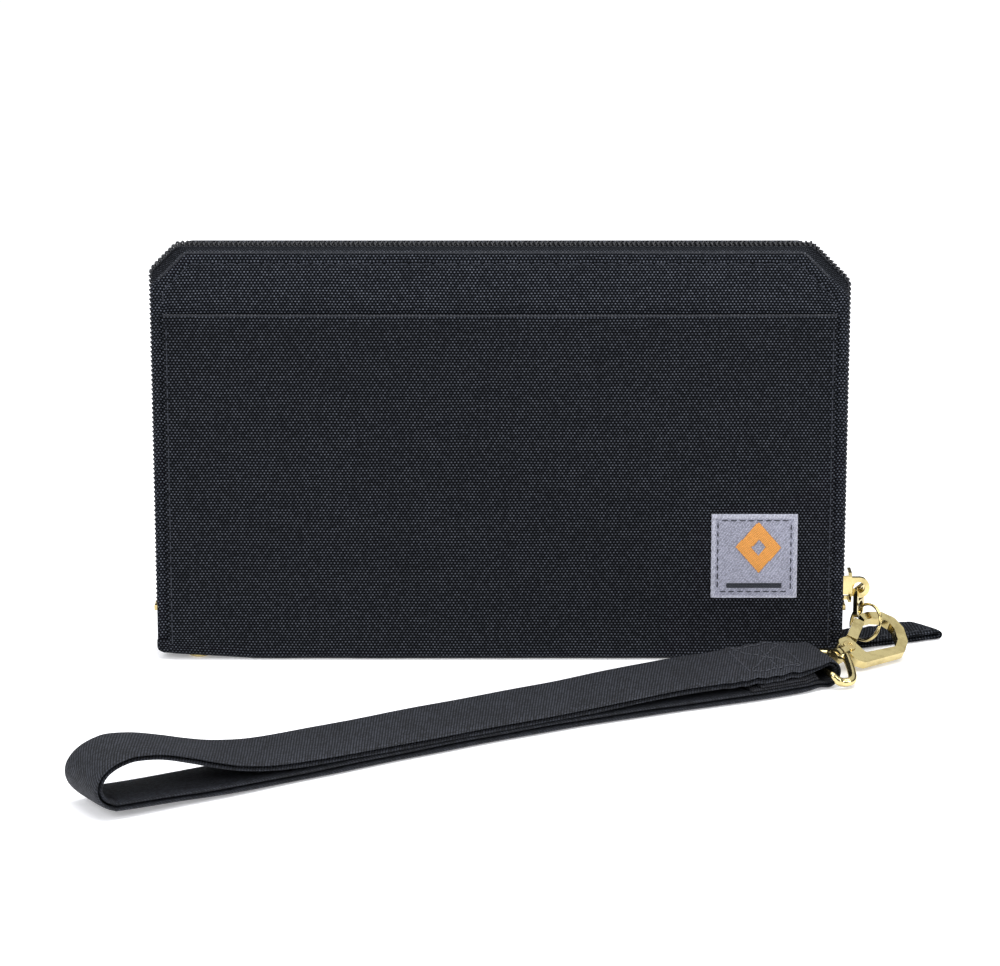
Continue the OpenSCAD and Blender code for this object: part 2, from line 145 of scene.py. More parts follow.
def distances(points):
    """How far along a line each of its points is."""
    return np.concatenate([[0], np.cumsum(np.linalg.norm(np.diff(points, axis=0), axis=1))])


def in_rows(x, depth, z):
    """Points from x, depth and z, any of which may be one number for all."""
    return np.stack(np.broadcast_arrays(np.asarray(x, float), depth, z), axis=-1)


def ripple(a, b, seed):
    """A gentle, fixed unevenness between -1 and 1 over two coordinates in millimetres."""
    random = np.random.default_rng(seed)
    total = np.zeros(np.broadcast(a, b).shape)
    for wave in range(6):
        length = random.uniform(18, 70)
        angle = random.uniform(0, TAU)
        phase = random.uniform(0, TAU)
        total = total + np.sin(TAU * (a * math.cos(angle) + b * math.sin(angle)) / length + phase)
    return total / 6


def corner_arc(a, b, c, radius, steps=6):
    """Points that round the corner b between a and c."""
    a, b, c = (np.array(p, float) for p in (a, b, c))
    u, v = unit(a - b), unit(c - b)
    half = math.acos(np.clip(u @ v, -1, 1)) / 2
    centre = b + unit(u + v) * radius / math.sin(half)
    start = b + u * radius / math.tan(half)
    stop = b + v * radius / math.tan(half)
    from_angle = math.atan2(start[1] - centre[1], start[0] - centre[0])
    to_angle = math.atan2(stop[1] - centre[1], stop[0] - centre[0])
    turn = (to_angle - from_angle + 3 * math.pi) % TAU - math.pi
    angles = [from_angle + turn * i / steps for i in range(steps + 1)]
    return [centre + radius * compass(t) for t in angles]


def between(a, b, count):
    """Evenly spaced points after a and before b."""
    return [np.array(a) + (np.array(b) - np.array(a)) * i / (count + 1) for i in range(1, count + 1)]


def cover_path(inset, foot=FOOT):
    """The cover's outline at an inset, from the lower left corner up, over and down to the right."""
    w = HALF_W - inset
    top = TOP - inset
    shrink = inset * (2 - math.sqrt(2))
    left = max(LEFT_CUT - shrink, 0.8)
    right = max(RIGHT_CUT - shrink, 0.8)
    soft = max(min(CORNER_R - 0.3 * inset, left * 0.8), 0.3)
    corners = [(-w, foot), (-w, top - left), (-w + left, top), (w - right, top), (w, top - right), (w, foot)]
    counts = [60, 6, 96, 6, 60]
    points = [np.array(corners[0], float)]
    for i in range(1, 5):
        arc = corner_arc(corners[i - 1], corners[i], corners[i + 1], soft)
        points += between(points[-1], arc[0], counts[i - 1]) + arc
    points += between(points[-1], corners[5], counts[4]) + [np.array(corners[5], float)]
    return np.array(points)


def lean_out(points, side):
    """Places points (x, depth inwards from the cover's plane, z) on the front (-1) or back (1) cover."""
    p = np.asarray(points, float)
    rise = p[..., 2] - FOOT
    y = p[..., 1] * math.cos(LEAN) + rise * math.sin(LEAN)
    z = -p[..., 1] * math.sin(LEAN) + rise * math.cos(LEAN)
    return np.stack([p[..., 0], side * (COVER_Y - y), FOOT + z], axis=-1)


def resample(points, step):
    """Points along a line at even distances close to step."""
    points = np.asarray(points, float)
    lengths = distances(points)
    count = max(2, int(round(lengths[-1] / step)) + 1)
    at = np.linspace(0, lengths[-1], count)
    return np.stack([np.interp(at, lengths, points[:, k]) for k in range(points.shape[1])], axis=1)


def tangents(points, closed=False):
    if closed:
        way = np.roll(points, -1, axis=0) - np.roll(points, 1, axis=0)
    else:
        way = np.gradient(points, axis=0)
    return way / np.maximum(np.linalg.norm(way, axis=1, keepdims=True), 1e-9)


# ---------- Making pieces ----------


SHARP_ANGLE = math.radians(55)


def lay_cloth(mesh, cloth):
    """Stores each point's place on its fabric, given in millimetres."""
    attribute = mesh.attributes.new("cloth", "FLOAT_VECTOR", "POINT")
    attribute.data.foreach_set("vector", (cloth * MM).astype(np.float32).ravel())


def show(name, mesh, material, slot, body, replaces):
    """Puts a mesh in the scene as a smooth piece that rides on a body and stands for CAD nodes."""
    mesh.polygons.foreach_set("use_smooth", [True] * len(mesh.polygons))
    mesh.materials.clear()
    mesh.materials.append(material)
    item = bpy.data.objects.new(name, mesh)
    bpy.context.scene.collection.objects.link(item)
    if replaces:
        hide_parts(*replaces)
    if body:
        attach(item, body)
    return item


def piece(name, made, material, slot, body=None, replaces=()):
    """A piece from made: its points in millimetres, its faces, and each point's place on its fabric."""
    verts, faces, cloth = made
    mesh = bpy.data.meshes.new(name)
    mesh.from_pydata((verts * MM).tolist(), [], faces)
    lay_cloth(mesh, cloth)
    repair = bmesh.new()
    repair.from_mesh(mesh)
    bmesh.ops.recalc_face_normals(repair, faces=repair.faces)
    repair.to_mesh(mesh)
    repair.free()
    item = show(name, mesh, material, slot, body, replaces)
    mesh.set_sharp_from_angle(angle=SHARP_ANGLE)
    return item


def grid_faces(rows, columns, close_rows=False, close_columns=False, start=0):
    """Quads between the points of a rows by columns grid."""
    faces = []
    for i in range(rows if close_rows else rows - 1):
        for j in range(columns if close_columns else columns - 1):
            a, b = i * columns, ((i + 1) % rows) * columns
            k = (j + 1) % columns
            faces.append((start + a + j, start + a + k, start + b + k, start + b + j))
    return faces


def join(parts):
    """Several (verts, faces, cloth) sets as one."""
    verts, faces, cloth, start = [], [], [], 0
    for v, f, c in parts:
        verts.append(v)
        cloth.append(c)
        faces += [tuple(i + start for i in face) for face in f]
        start += len(v)
    return np.concatenate(verts), faces, np.concatenate(cloth)


def tube(points, radius, sides=6, closed=False, reference=(0, 0, 1), squash=1.0):
    """A round or flattened wire along points. radius may be one number or one for each point."""
    points = np.asarray(points, float)
    count = len(points)
    radii = np.broadcast_to(radius, (count,))
    way = tangents(points, closed)
    normal = np.asarray(reference, float)
    angles = np.arange(sides) * TAU / sides
    rings = []
    for i in range(count):
        normal = normal - (normal @ way[i]) * way[i]
        if np.linalg.norm(normal) < 1e-6:
            normal = np.cross(way[i], (1, 0.3, 0.2))
        normal = unit(normal)
        side = np.cross(way[i], normal)
        round_ring = np.outer(np.cos(angles), side) + squash * np.outer(np.sin(angles), normal)
        rings.append(points[i] + radii[i] * round_ring)
    verts = np.concatenate(rings)
    faces = grid_faces(count, sides, close_rows=closed, close_columns=True)
    if not closed:
        faces += [tuple(range(sides)), tuple(range((count - 1) * sides, count * sides))]
    lengths = distances(points)
    cloth = np.zeros((len(verts), 3))
    cloth[:, 0] = np.repeat(lengths, sides)
    cloth[:, 1] = np.tile(np.arange(sides) * TAU * radii[0] / sides, count)
    return verts, faces, cloth


STITCH = 2.7
STITCH_GAP = 0.8
THREAD_R = 0.2


def stitch_row(path, outward, length=STITCH, gap=STITCH_GAP, radius=THREAD_R, rise=0.12):
    """Stitches along a path. Each one dips into the fabric at both ends."""
    fine_path = resample(path, 0.25)
    lengths = distances(fine_path)
    outward = np.asarray(outward, float)
    parts = []
    at = gap
    while at + length < lengths[-1]:
        spots = np.linspace(at, at + length, 7)
        centre = np.stack([np.interp(spots, lengths, fine_path[:, k]) for k in range(3)], axis=1)
        lift = np.sin(np.linspace(0, math.pi, 7))
        bow = rise * (lift - 0.35)
        thick = radius * (0.55 + 0.45 * np.sqrt(np.maximum(lift, 0)))
        parts.append(tube(centre + bow[:, None] * outward, thick, sides=6, reference=outward))
        at += length + gap
    return join(parts)


def sew(name, rows, outward, material, slot, body, **looks):
    """One piece of stitching along one or more rows."""
    piece(name, join([stitch_row(row, outward, **looks) for row in rows]), material, slot, body)


ROUND_STEPS = 3
SAME_SPOT = 0.01 * MM
FLAT_ANGLE = math.radians(1.5)
EDGE_ANGLE = 28


def refined(node, name, material, slot, bevel, angle=EDGE_ANGLE):
    """A copy of a CAD node with rounded edges, standing for it."""
    source = frame["nodes"][node]
    mesh = source.data.copy()
    mesh.name = name
    work = bmesh.new()
    work.from_mesh(mesh)
    bmesh.ops.remove_doubles(work, verts=work.verts, dist=SAME_SPOT)
    bmesh.ops.dissolve_limit(work, angle_limit=FLAT_ANGLE, verts=work.verts, edges=work.edges)
    sharp = [e for e in work.edges if len(e.link_faces) == 2 and e.calc_face_angle(0) > math.radians(angle)]
    bmesh.ops.bevel(
        work, geom=sharp, offset=bevel * MM, offset_type="OFFSET", segments=ROUND_STEPS, profile=0.5,
        affect="EDGES", clamp_overlap=True)
    bmesh.ops.recalc_face_normals(work, faces=work.faces)
    work.to_mesh(mesh)
    work.free()
    verts = np.array([v.co for v in mesh.vertices]) / MM
    lay_cloth(mesh, np.stack([verts[:, 0], verts[:, 2] + verts[:, 1], verts[:, 1]], axis=1))
    item = show(name, mesh, material, slot, source["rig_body"], [node])
    smoothing = item.modifiers.new("even_normals", "WEIGHTED_NORMAL")
    smoothing.keep_sharp = True


# ---------- Materials ----------


class Graph:
    """A material's node graph, with short ways to add nodes."""

    def __init__(self, name, roughness=0.8, metallic=0.0, specular=0.5):
        self.material = bpy.data.materials.new(name)
        self.material.use_nodes = True
        self.tree = self.material.node_tree
        self.tree.nodes.clear()
        output = self.tree.nodes.new("ShaderNodeOutputMaterial")
        self.shader = self.tree.nodes.new("ShaderNodeBsdfPrincipled")
        self.tree.links.new(self.shader.outputs[0], output.inputs[0])
        self.set("Roughness", roughness)
        self.set("Metallic", metallic)
        self.set("Specular IOR Level", specular)

    def set(self, name, value):
        self.shader.inputs[name].default_value = value

    def feed(self, name, socket):
        self.tree.links.new(socket, self.shader.inputs[name])

    def plug(self, node, index, value):
        if isinstance(value, (int, float)):
            node.inputs[index].default_value = value
        else:
            self.tree.links.new(value, node.inputs[index])

    def math(self, operation, a, b=0.0, c=0.0):
        node = self.tree.nodes.new("ShaderNodeMath")
        node.operation = operation
        for index, value in enumerate((a, b, c)):
            self.plug(node, index, value)
        return node.outputs[0]

    def times(self, a, b):
        return self.math("MULTIPLY", a, b)

    def plus(self, a, b):
        return self.math("ADD", a, b)

    def over(self, a, b):
        return self.math("DIVIDE", a, b)

    def hump(self, x):
        """Half a sine wave over each whole step of x."""
        return self.math("SINE", self.times(self.math("FRACT", x), math.pi))

    def cloth(self):
        """The point's place on its fabric: along it, across it, and as a vector."""
        node = self.tree.nodes.new("ShaderNodeAttribute")
        node.attribute_name = "cloth"
        parts = self.tree.nodes.new("ShaderNodeSeparateXYZ")
        self.tree.links.new(node.outputs["Vector"], parts.inputs[0])
        return parts.outputs[0], parts.outputs[1], node.outputs["Vector"]

    def place(self):
        node = self.tree.nodes.new("ShaderNodeTexCoord")
        return node.outputs["Object"]

    def combine(self, x, y, z=0.0):
        node = self.tree.nodes.new("ShaderNodeCombineXYZ")
        for index, value in enumerate((x, y, z)):
            self.plug(node, index, value)
        return node.outputs[0]

    def noise(self, vector, scale, detail=3.0, roughness=0.6):
        node = self.tree.nodes.new("ShaderNodeTexNoise")
        self.tree.links.new(vector, node.inputs["Vector"])
        node.inputs["Scale"].default_value = scale
        node.inputs["Detail"].default_value = detail
        node.inputs["Roughness"].default_value = roughness
        return node.outputs[0]

    def cell_random(self, vector):
        node = self.tree.nodes.new("ShaderNodeTexWhiteNoise")
        self.tree.links.new(vector, node.inputs["Vector"])
        return node.outputs["Value"]

    def ramp(self, factor, stops):
        node = self.tree.nodes.new("ShaderNodeValToRGB")
        self.tree.links.new(factor, node.inputs[0])
        elements = node.color_ramp.elements
        while len(elements) < len(stops):
            elements.new(0.5)
        for element, (position, colour) in zip(elements, stops):
            element.position = position
            element.color = (*colour, 1)
        return node.outputs[0]

    def grey_range(self, factor, low, high):
        node = self.tree.nodes.new("ShaderNodeMapRange")
        self.tree.links.new(factor, node.inputs[0])
        node.inputs[3].default_value = low
        node.inputs[4].default_value = high
        return node.outputs[0]

    def bump(self, height, strength, distance):
        node = self.tree.nodes.new("ShaderNodeBump")
        node.inputs["Strength"].default_value = strength
        node.inputs["Distance"].default_value = distance
        self.tree.links.new(height, node.inputs["Height"])
        self.feed("Normal", node.outputs[0])

    def sheen(self, weight, roughness, tint):
        self.set("Sheen Weight", weight)
        self.set("Sheen Roughness", roughness)
        self.set("Sheen Tint", (*tint, 1))


def scaled(colour, factor):
    return tuple(min(1.0, c * factor) for c in colour)


def tones(base, *stops):
    """Colour stops from (position, brightness) pairs of one base colour."""
    return [(position, scaled(base, level)) for position, level in stops]


def woven(name, base, pitch_along, pitch_across, speck=8.4, dark=0.04, contrast=1.3, roughness=0.85,
          sheen=0.03, bump=0.6, depth=0.00025):
    """Plain duck weave: rows of short thread crowns, every second row moved on by half a crown."""
    g = Graph(name, roughness=roughness, specular=0.1)
    along, across, vector = g.cloth()
    wobble = g.times(g.math("SUBTRACT", g.noise(vector, 60, 2), 0.5), pitch_across * 0.6)
    rows = g.over(g.plus(across, wobble), pitch_across)
    row = g.math("FLOOR", rows)
    shift = g.times(g.math("FLOORED_MODULO", row, 2.0), 0.5)
    columns = g.plus(g.over(along, pitch_along), shift)
    across_crown = g.hump(rows)
    along_crown = g.hump(columns)
    crown = g.times(across_crown, along_crown)
    chance = g.cell_random(g.combine(g.math("FLOOR", columns), row))
    grit = g.grey_range(g.noise(vector, 2600, 2, 0.7), 0.35, 1.5)
    uneven = g.times(g.math("MULTIPLY_ADD", chance, 0.45, 0.72), grit)
    worn = g.grey_range(g.noise(vector, 55, 5, 0.65), 0.88, 1.14)
    light = g.times(g.times(g.math("POWER", crown, 1.7 * contrast), uneven), worn)
    grey = sum(base) / 3
    neutral = tuple(0.5 * c + 0.5 * grey for c in base)
    stops = tones(base, (0.0, dark), (0.25, 0.7)) + tones(neutral, (0.55, 0.33 * speck), (1.0, speck))
    g.feed("Base Color", g.ramp(light, stops))
    g.feed("Roughness", g.grey_range(light, roughness + 0.08, roughness - 0.14))
    fibre = g.times(g.noise(vector, 5200, 2), 0.18)
    g.bump(g.plus(crown, fibre), bump, depth)
    g.sheen(sheen, 0.5, scaled(base, 12))
    return g.material


def twill(name, base, pitch, slope, light_gain, roughness=0.8, sheen=0.1, depth=0.0002):
    """Ribs that run at a slant, each broken into short crossings."""
    g = Graph(name, roughness=roughness, specular=0.3)
    along, across, vector = g.cloth()
    slant = g.plus(along, g.times(across, slope))
    wobble = g.times(g.noise(vector, 200, 2), pitch * 0.5)
    ribs = g.over(g.plus(slant, wobble), pitch)
    rib = g.hump(ribs)
    steps = g.over(across, pitch * 0.55)
    step = g.hump(steps)
    crossing = g.math("MULTIPLY_ADD", step, 0.55, 0.45)
    chance = g.cell_random(g.combine(g.math("FLOOR", ribs), g.math("FLOOR", steps)))
    height = g.times(rib, crossing)
    worn = g.grey_range(g.noise(vector, 70, 4, 0.6), 0.75, 1.25)
    light = g.times(g.times(height, g.math("MULTIPLY_ADD", chance, 0.6, 0.6)), worn)
    g.feed("Base Color", g.ramp(light, tones(base, (0.0, 0.25), (0.35, 0.75), (0.9, light_gain))))
    g.feed("Roughness", g.grey_range(light, roughness + 0.05, roughness - 0.15))
    fibre = g.times(g.noise(vector, 4800, 2), 0.15)
    g.bump(g.plus(height, fibre), 0.7, depth)
    g.sheen(sheen, 0.45, scaled(base, 10))
    return g.material


def thread(name, base, roughness=0.55):
    """Twisted sewing thread."""
    g = Graph(name, roughness=roughness, specular=0.4)
    along, across, vector = g.cloth()
    strands = g.over(g.plus(along, g.times(across, 0.9)), 0.00045)
    ply = g.hump(strands)
    tone = g.times(ply, g.grey_range(g.noise(vector, 900, 3), 0.7, 1.3))
    g.feed("Base Color", g.ramp(tone, tones(base, (0.0, 0.35), (0.5, 1), (1.0, 2.1))))
    g.feed("Roughness", g.grey_range(ply, roughness + 0.15, roughness - 0.1))
    g.bump(ply, 0.6, 0.00008)
    g.sheen(0.15, 0.4, scaled(base, 6))
    return g.material


def metal(name, base, roughness, dark_reflection_tint, scratch=0.35):
    """Plated metal: polished, with fine scratches and handling marks, and darker patches at random in its
    colour that are painted dark reflections.
    """
    g = Graph(name, roughness=roughness, metallic=1.0)
    place = g.place()
    clouds = g.noise(place, 240, 4, 0.6)
    pits = g.noise(place, 2600, 3, 0.7)
    # The darker patches from the clouds are painted dark reflections.
    g.feed("Base Color", g.ramp(clouds, [(0.25, dark_reflection_tint), *tones(base, (0.55, 1), (0.9, 1.08))]))
    wear = g.plus(g.times(clouds, 0.6), g.times(pits, 0.4))
    g.feed("Roughness", g.grey_range(wear, max(roughness - 0.08, 0.05), roughness + 0.14))
    g.bump(g.plus(pits, g.times(clouds, 2.0)), scratch * 0.25, 0.00003)
    return g.material


def plastic(name, base, roughness):
    g = Graph(name, roughness=roughness, specular=0.5)
    place = g.place()
    clouds = g.noise(place, 800, 4, 0.6)
    g.feed("Base Color", g.ramp(clouds, tones(base, (0.2, 0.6), (0.6, 1), (0.95, 2))))
    g.feed("Roughness", g.grey_range(clouds, roughness + 0.12, roughness - 0.1))
    g.bump(g.noise(place, 4000, 2), 0.15, 0.00003)
    return g.material


def fibreboard(name, base):
    g = Graph(name, roughness=0.9, specular=0.2)
    place = g.place()
    fibres = g.noise(place, 900, 6, 0.75)
    g.feed("Base Color", g.ramp(fibres, tones(base, (0.3, 0.7), (0.6, 1), (0.8, 1.25))))
    g.feed("Roughness", g.grey_range(fibres, 0.8, 1.0))
    g.bump(fibres, 0.4, 0.0001)
    return g.material


NAVY = (0.0096, 0.0117, 0.0172)
DUCK_ALONG = 1.0 * MM
DUCK_ACROSS = 0.79 * MM
CANVAS = woven("canvas_duck", NAVY, DUCK_ALONG, DUCK_ACROSS)
# A lit copy of the canvas for the front cover: the same navy made 1.35 times brighter, painted light for the
# light from above that falls on the cover above the pocket.
CANVAS_PAINTED_LIT = woven("canvas_duck_upper", scaled(NAVY, 1.35), DUCK_ALONG, DUCK_ACROSS)
# A lighter copy of the canvas for the fold crests: a painted highlight along the folds.
FOLD_HIGHLIGHT = woven("canvas_fold", (0.046, 0.049, 0.058), DUCK_ALONG, DUCK_ACROSS, speck=3.0, dark=0.5)
LINING = woven("lining_taffeta", (0.030, 0.033, 0.042), 0.00045, 0.00040, speck=1.9, dark=0.5, roughness=0.6,
               sheen=0.2, bump=0.35, depth=0.0001)
SLOT_FABRIC = woven("pocket_oxford", (0.020, 0.023, 0.031), 0.00062, 0.00055, speck=2.3, dark=0.35,
                    roughness=0.7, bump=0.45, depth=0.00015)
STRAP_TWILL = twill("strap_twill", (0.0074, 0.0082, 0.0110), 0.00088, -0.6, light_gain=4.5, sheen=0.03)
STRAP_EDGE = twill("strap_edge", (0.009, 0.0095, 0.012), 0.0007, 0.3, light_gain=4.0, sheen=0.05)
TAPE = woven("zip_tape", scaled(NAVY, 0.95), 0.00062, 0.00056, speck=6.0)
COIL = plastic("zip_coil", (0.017, 0.018, 0.022), 0.5)
GOLD = metal("light_gold_plate", (0.66, 0.55, 0.265), 0.12, (0.40, 0.315, 0.13))
GOLD_WORN = metal("light_gold_worn", (0.60, 0.48, 0.22), 0.2, (0.36, 0.27, 0.11), scratch=0.6)
STEEL = metal("spring_steel", (0.55, 0.55, 0.56), 0.25, (0.4, 0.4, 0.42))
NAVY_THREAD = thread("navy_thread", (0.010, 0.012, 0.018))
GREY_THREAD = thread("charcoal_thread", (0.03, 0.032, 0.04))
ORANGE_THREAD = thread("orange_thread", (0.44, 0.185, 0.035), 0.5)
LABEL = twill("label_damask", (0.25, 0.254, 0.315), 0.00042, 0.35, 1.95, roughness=0.6, depth=0.00006)
LABEL_EDGE = twill("label_edge", (0.34, 0.345, 0.41), 0.0004, 0.2, 1.8, roughness=0.6, depth=0.00006)
BOARD = fibreboard("board_fibre", (0.35, 0.32, 0.27))


# ---------- Covers ----------


TAUT_EDGE = 3.0
TAUT_FADE = 14.0


def ring_shell(stations, side, foot=FOOT, unevenness=0.0, seed=1):
    """A closed shell of outlines at (inset, depth) stations, from its outside round the edge to its inside.

    unevenness is the height of the fabric's gentle ripples away from the edge.
    """
    rows = []
    for inset, depth in stations:
        path = cover_path(inset, foot)
        wave = unevenness * smooth((inset - TAUT_EDGE) / TAUT_FADE) * ripple(path[:, 0], path[:, 1], seed)
        rows.append(in_rows(path[:, 0], depth + wave, path[:, 1]))
    count = len(rows[0])
    local = np.concatenate(rows)
    faces = grid_faces(len(stations), count)
    last = (len(stations) - 1) * count
    faces.append(tuple(range(count)))
    faces.append(tuple(range(last, last + count)))
    left_ends = [k * count for k in range(len(stations))]
    right_ends = [k * count + count - 1 for k in range(len(stations))]
    faces.append(tuple(left_ends + right_ends[::-1]))
    cloth = np.stack([local[:, 0], local[:, 2] + local[:, 1], local[:, 1]], axis=1)
    return lean_out(local, side), faces, cloth


MIDDLE = 97.0
# Stations are (inset from the outline, depth from the outside face)
OUTSIDE = [(inset, -0.35) for inset in range(int(MIDDLE), 42, -6)] + [
    (38, -0.33), (28, -0.3), (20, -0.26), (13, -0.2), (9, -0.14), (6.5, -0.08), (5.0, -0.02)]
STITCH_GROOVE = [(4.3, 0.08), (3.9, 0.24), (3.65, 0.3), (3.4, 0.24), (3.0, 0.05), (2.3, -0.03), (1.6, -0.02),
                 (1.05, 0.06)]
EDGE_ROLL = [(0.55, 0.25), (0.22, 0.65), (0.04, 1.1), (0.0, 1.5), (0.04, 1.9), (0.22, 2.35), (0.55, 2.75)]
INSIDE = [(1.05, 2.94), (1.6, COVER_T), (6, COVER_T), (20, COVER_T), (50, COVER_T), (MIDDLE, COVER_T)]
LINING_SHELL = [(MIDDLE, 2.2), (50, 2.2), (20, 2.2), (2.4, 2.2), (1.9, 2.4), (1.75, 2.75), (1.9, 3.1),
                (2.4, 3.22), (3.2, 3.12), (4.2, 3.2), (12, 3.12), (30, 3.06), (60, 3.06), (MIDDLE, 3.06)]
COVER_PUFF = 0.12
EDGE_ROW = (3.65, 0.22)
LINING_ROW = (2.9, 3.16)


def outline_row(station, foot, side):
    """The row of stitches that follows a cover's outline at an (inset, depth) station."""
    path = cover_path(station[0], foot)
    return lean_out(in_rows(path[:, 0], station[1], path[:, 1]), side)


def build_cover(side, body, word):
    stations = OUTSIDE + STITCH_GROOVE + EDGE_ROLL + INSIDE
    shell = ring_shell(stations, side, unevenness=COVER_PUFF, seed=3 + side)
    # The front cover takes the lit copy of the canvas: painted light, not a different fabric.
    canvas = CANVAS_PAINTED_LIT if side < 0 else CANVAS
    piece(f"{word}_cover_canvas", shell, canvas, "duck_canvas", body, [f"{word}_panel", f"{word}_binding"])
    shell = ring_shell(LINING_SHELL, side, foot=FOOT + 0.1)
    piece(f"{word}_lining_cloth", shell, LINING, "lining_fabric", body, [f"{word}_lining"])
    row_foot = POCKET_TOP + 3 if side < 0 else FOOT + 2
    outward = unit(lean_out([0, -1, 50], side) - lean_out([0, 0, 50], side))
    row = outline_row(EDGE_ROW, row_foot, side)
    sew(f"{word}_edge_stitching", [row], outward, NAVY_THREAD, "duck_canvas", body)
    row = outline_row(LINING_ROW, FOOT + 3, side)
    sew(f"{word}_lining_stitching", [row], -outward, NAVY_THREAD, "lining_fabric", body)
    return outward


HEM_DEPTH = 3.4
SIDE_FADE = 12.0
MOUTH_FADE = 10.0


def soft_sheet(x0, x1, profile, thickness, place, hem=0.0, bow=0.0, bow_depth=25.0, unevenness=0.08, seed=5,
               columns=110, edge_roll=0.5, lip_round=0.4):
    """A sewn sheet. profile runs (depth, height) down its outside. place puts (x, depth, z) where it belongs.

    hem thickens the first few millimetres, and bow lets the mouth stand away at the middle of its width.
    """
    line = resample(profile, 1.0)
    way = tangents(line)
    outward = np.stack([way[:, 1], -way[:, 0]], axis=1)
    run = distances(line)
    xs = np.linspace(x0, x1, columns)
    across = (xs - (x0 + x1) / 2) / ((x1 - x0) / 2)
    edge = np.minimum(xs - x0, x1 - xs)
    layers = []
    for face in (1, -1):
        grow = np.zeros((len(line), columns))
        if hem:
            band = smooth((HEM_DEPTH - run) / 0.5) * smooth(run / 0.25)
            grow += hem * band[:, None]
        if face > 0:
            lip = np.maximum(0, 1 - run / 0.5)
            grow -= (thickness * lip_round) * (lip ** 2)[:, None]
            grow -= (thickness * 0.45) * (np.maximum(0, 1 - edge / edge_roll) ** 2)[None, :]
        lift = bow * (1 - across ** 2)[None, :] * smooth(1 - run / bow_depth)[:, None]
        calm = smooth(edge / SIDE_FADE)[None, :] * smooth(run / MOUTH_FADE)[:, None]
        wave = unevenness * ripple(xs[None, :], run[:, None], seed) * calm
        offset = (thickness / 2 * face) + (grow if face > 0 else 0) + lift + wave
        depth = line[:, 0][:, None] + outward[:, 0][:, None] * offset
        height = line[:, 1][:, None] + outward[:, 1][:, None] * offset
        layers.append(np.stack([np.broadcast_to(xs, depth.shape), depth, height], axis=-1))
    rows = len(line)
    count = rows * columns
    local = np.concatenate([layers[0].reshape(-1, 3), layers[1].reshape(-1, 3)])
    faces = grid_faces(rows, columns) + grid_faces(rows, columns, start=count)
    sides = [(i * columns + j, (i + 1) * columns + j) for i in range(rows - 1) for j in (0, columns - 1)]
    ends = [(i * columns + j, i * columns + j + 1) for j in range(columns - 1) for i in (0, rows - 1)]
    faces += [(a, b, b + count, a + count) for a, b in sides + ends]
    down = np.tile(np.repeat(-run, columns), 2)
    cloth = np.stack([np.tile(xs, rows * 2), down, np.zeros(2 * count)], axis=1)
    return place(local), faces, cloth


def front_place(local):
    return lean_out(local, -1)


def back_place(local):
    return lean_out(local, 1)


FEET_R = 3.0
FEET_H = 8.0


def raise_left(points):
    """Rounds the two bottom corners, and lifts the spine's underside a little at its left end."""
    moved = np.array(points, float)
    down = np.clip(1 - moved[..., 2] / FEET_R, 0, 1)
    reach = HALF_W - FEET_R * (1 - np.sqrt(1 - down ** 2))
    moved[..., 0] = np.clip(moved[..., 0], -reach, reach)
    lift = RISE * np.clip((-HALF_W + RISE_START - moved[..., 0]) / RISE_START, 0, 1)
    low = np.clip(1 - moved[..., 2] / FEET_H, 0, 1)
    moved[..., 2] += lift * low
    return moved


front_outward = build_cover(-1, "front_half", "front")
back_outward = build_cover(1, "back_half", "back")

# The slip pocket runs down from its mouth and turns under the spine's front edge
UNDER_R = 2.0
POCKET_DEPTH = -0.75
POCKET_T = 0.9
POCKET_SIDE = HALF_W - 3.3
POCKET_BOW = 0.9


def pocket_line():
    mouth = POCKET_TOP
    line = [(POCKET_DEPTH, mouth), (POCKET_DEPTH, 60.0), (POCKET_DEPTH, 20.0), (POCKET_DEPTH, FOOT + 1)]
    for angle in arc_points(0, 90, 7):
        line.append((POCKET_DEPTH + UNDER_R * (1 - math.cos(angle)), FOOT - 0.6 - UNDER_R * math.sin(angle)))
    return line


verts, faces, cloth = soft_sheet(
    -POCKET_SIDE, POCKET_SIDE, pocket_line(), POCKET_T, front_place, hem=0.4, bow=POCKET_BOW, bow_depth=30,
    unevenness=0.16, seed=11, columns=150, lip_round=0.1)
verts = raise_left(verts)
verts[:, 2] = np.maximum(verts[:, 2], 0.0)
piece("front_slip_pocket", (verts, faces, cloth), CANVAS, "duck_canvas", "front_half", ["front_pocket"])


def fold_highlight_line(name, points, radius):
    """A thin tube of lighter canvas on the sharp crest of a pressed fold: a painted highlight where the fold
    catches the light.
    """
    piece(name, tube(front_place(points), radius, sides=8), FOLD_HIGHLIGHT, "duck_canvas", "front_half")


# Painted highlights along the pocket's mouth and along the front cover's top edge.
mouth_x = np.linspace(-POCKET_SIDE + 0.3, POCKET_SIDE - 0.3, 150)
mouth_bow = POCKET_BOW * (1 - (mouth_x / POCKET_SIDE) ** 2)
fold_highlight_line("pocket_mouth_fold", in_rows(mouth_x, POCKET_DEPTH - mouth_bow - 0.2, POCKET_TOP + 0.03), 0.34)
brow = cover_path(0.5, FOOT + 90)
brow = brow[(brow[:, 1] > TOP - 9) & (np.abs(brow[:, 0]) < HALF_W - 1)]
fold_highlight_line("front_edge_fold", in_rows(brow[:, 0], 0.35, brow[:, 1]), 0.3)

for sign, word in ((-1, "left"), (1, "right")):
    heights = np.linspace(FOOT + 1, POCKET_TOP - 0.8, 60)
    row = front_place(in_rows(sign * (HALF_W - 4.5), POCKET_DEPTH - 0.46, heights))
    sew(f"pocket_stitching_{word}", [row], front_outward, NAVY_THREAD, "duck_canvas", "front_half")

# Spine: one strip of canvas round the bottom


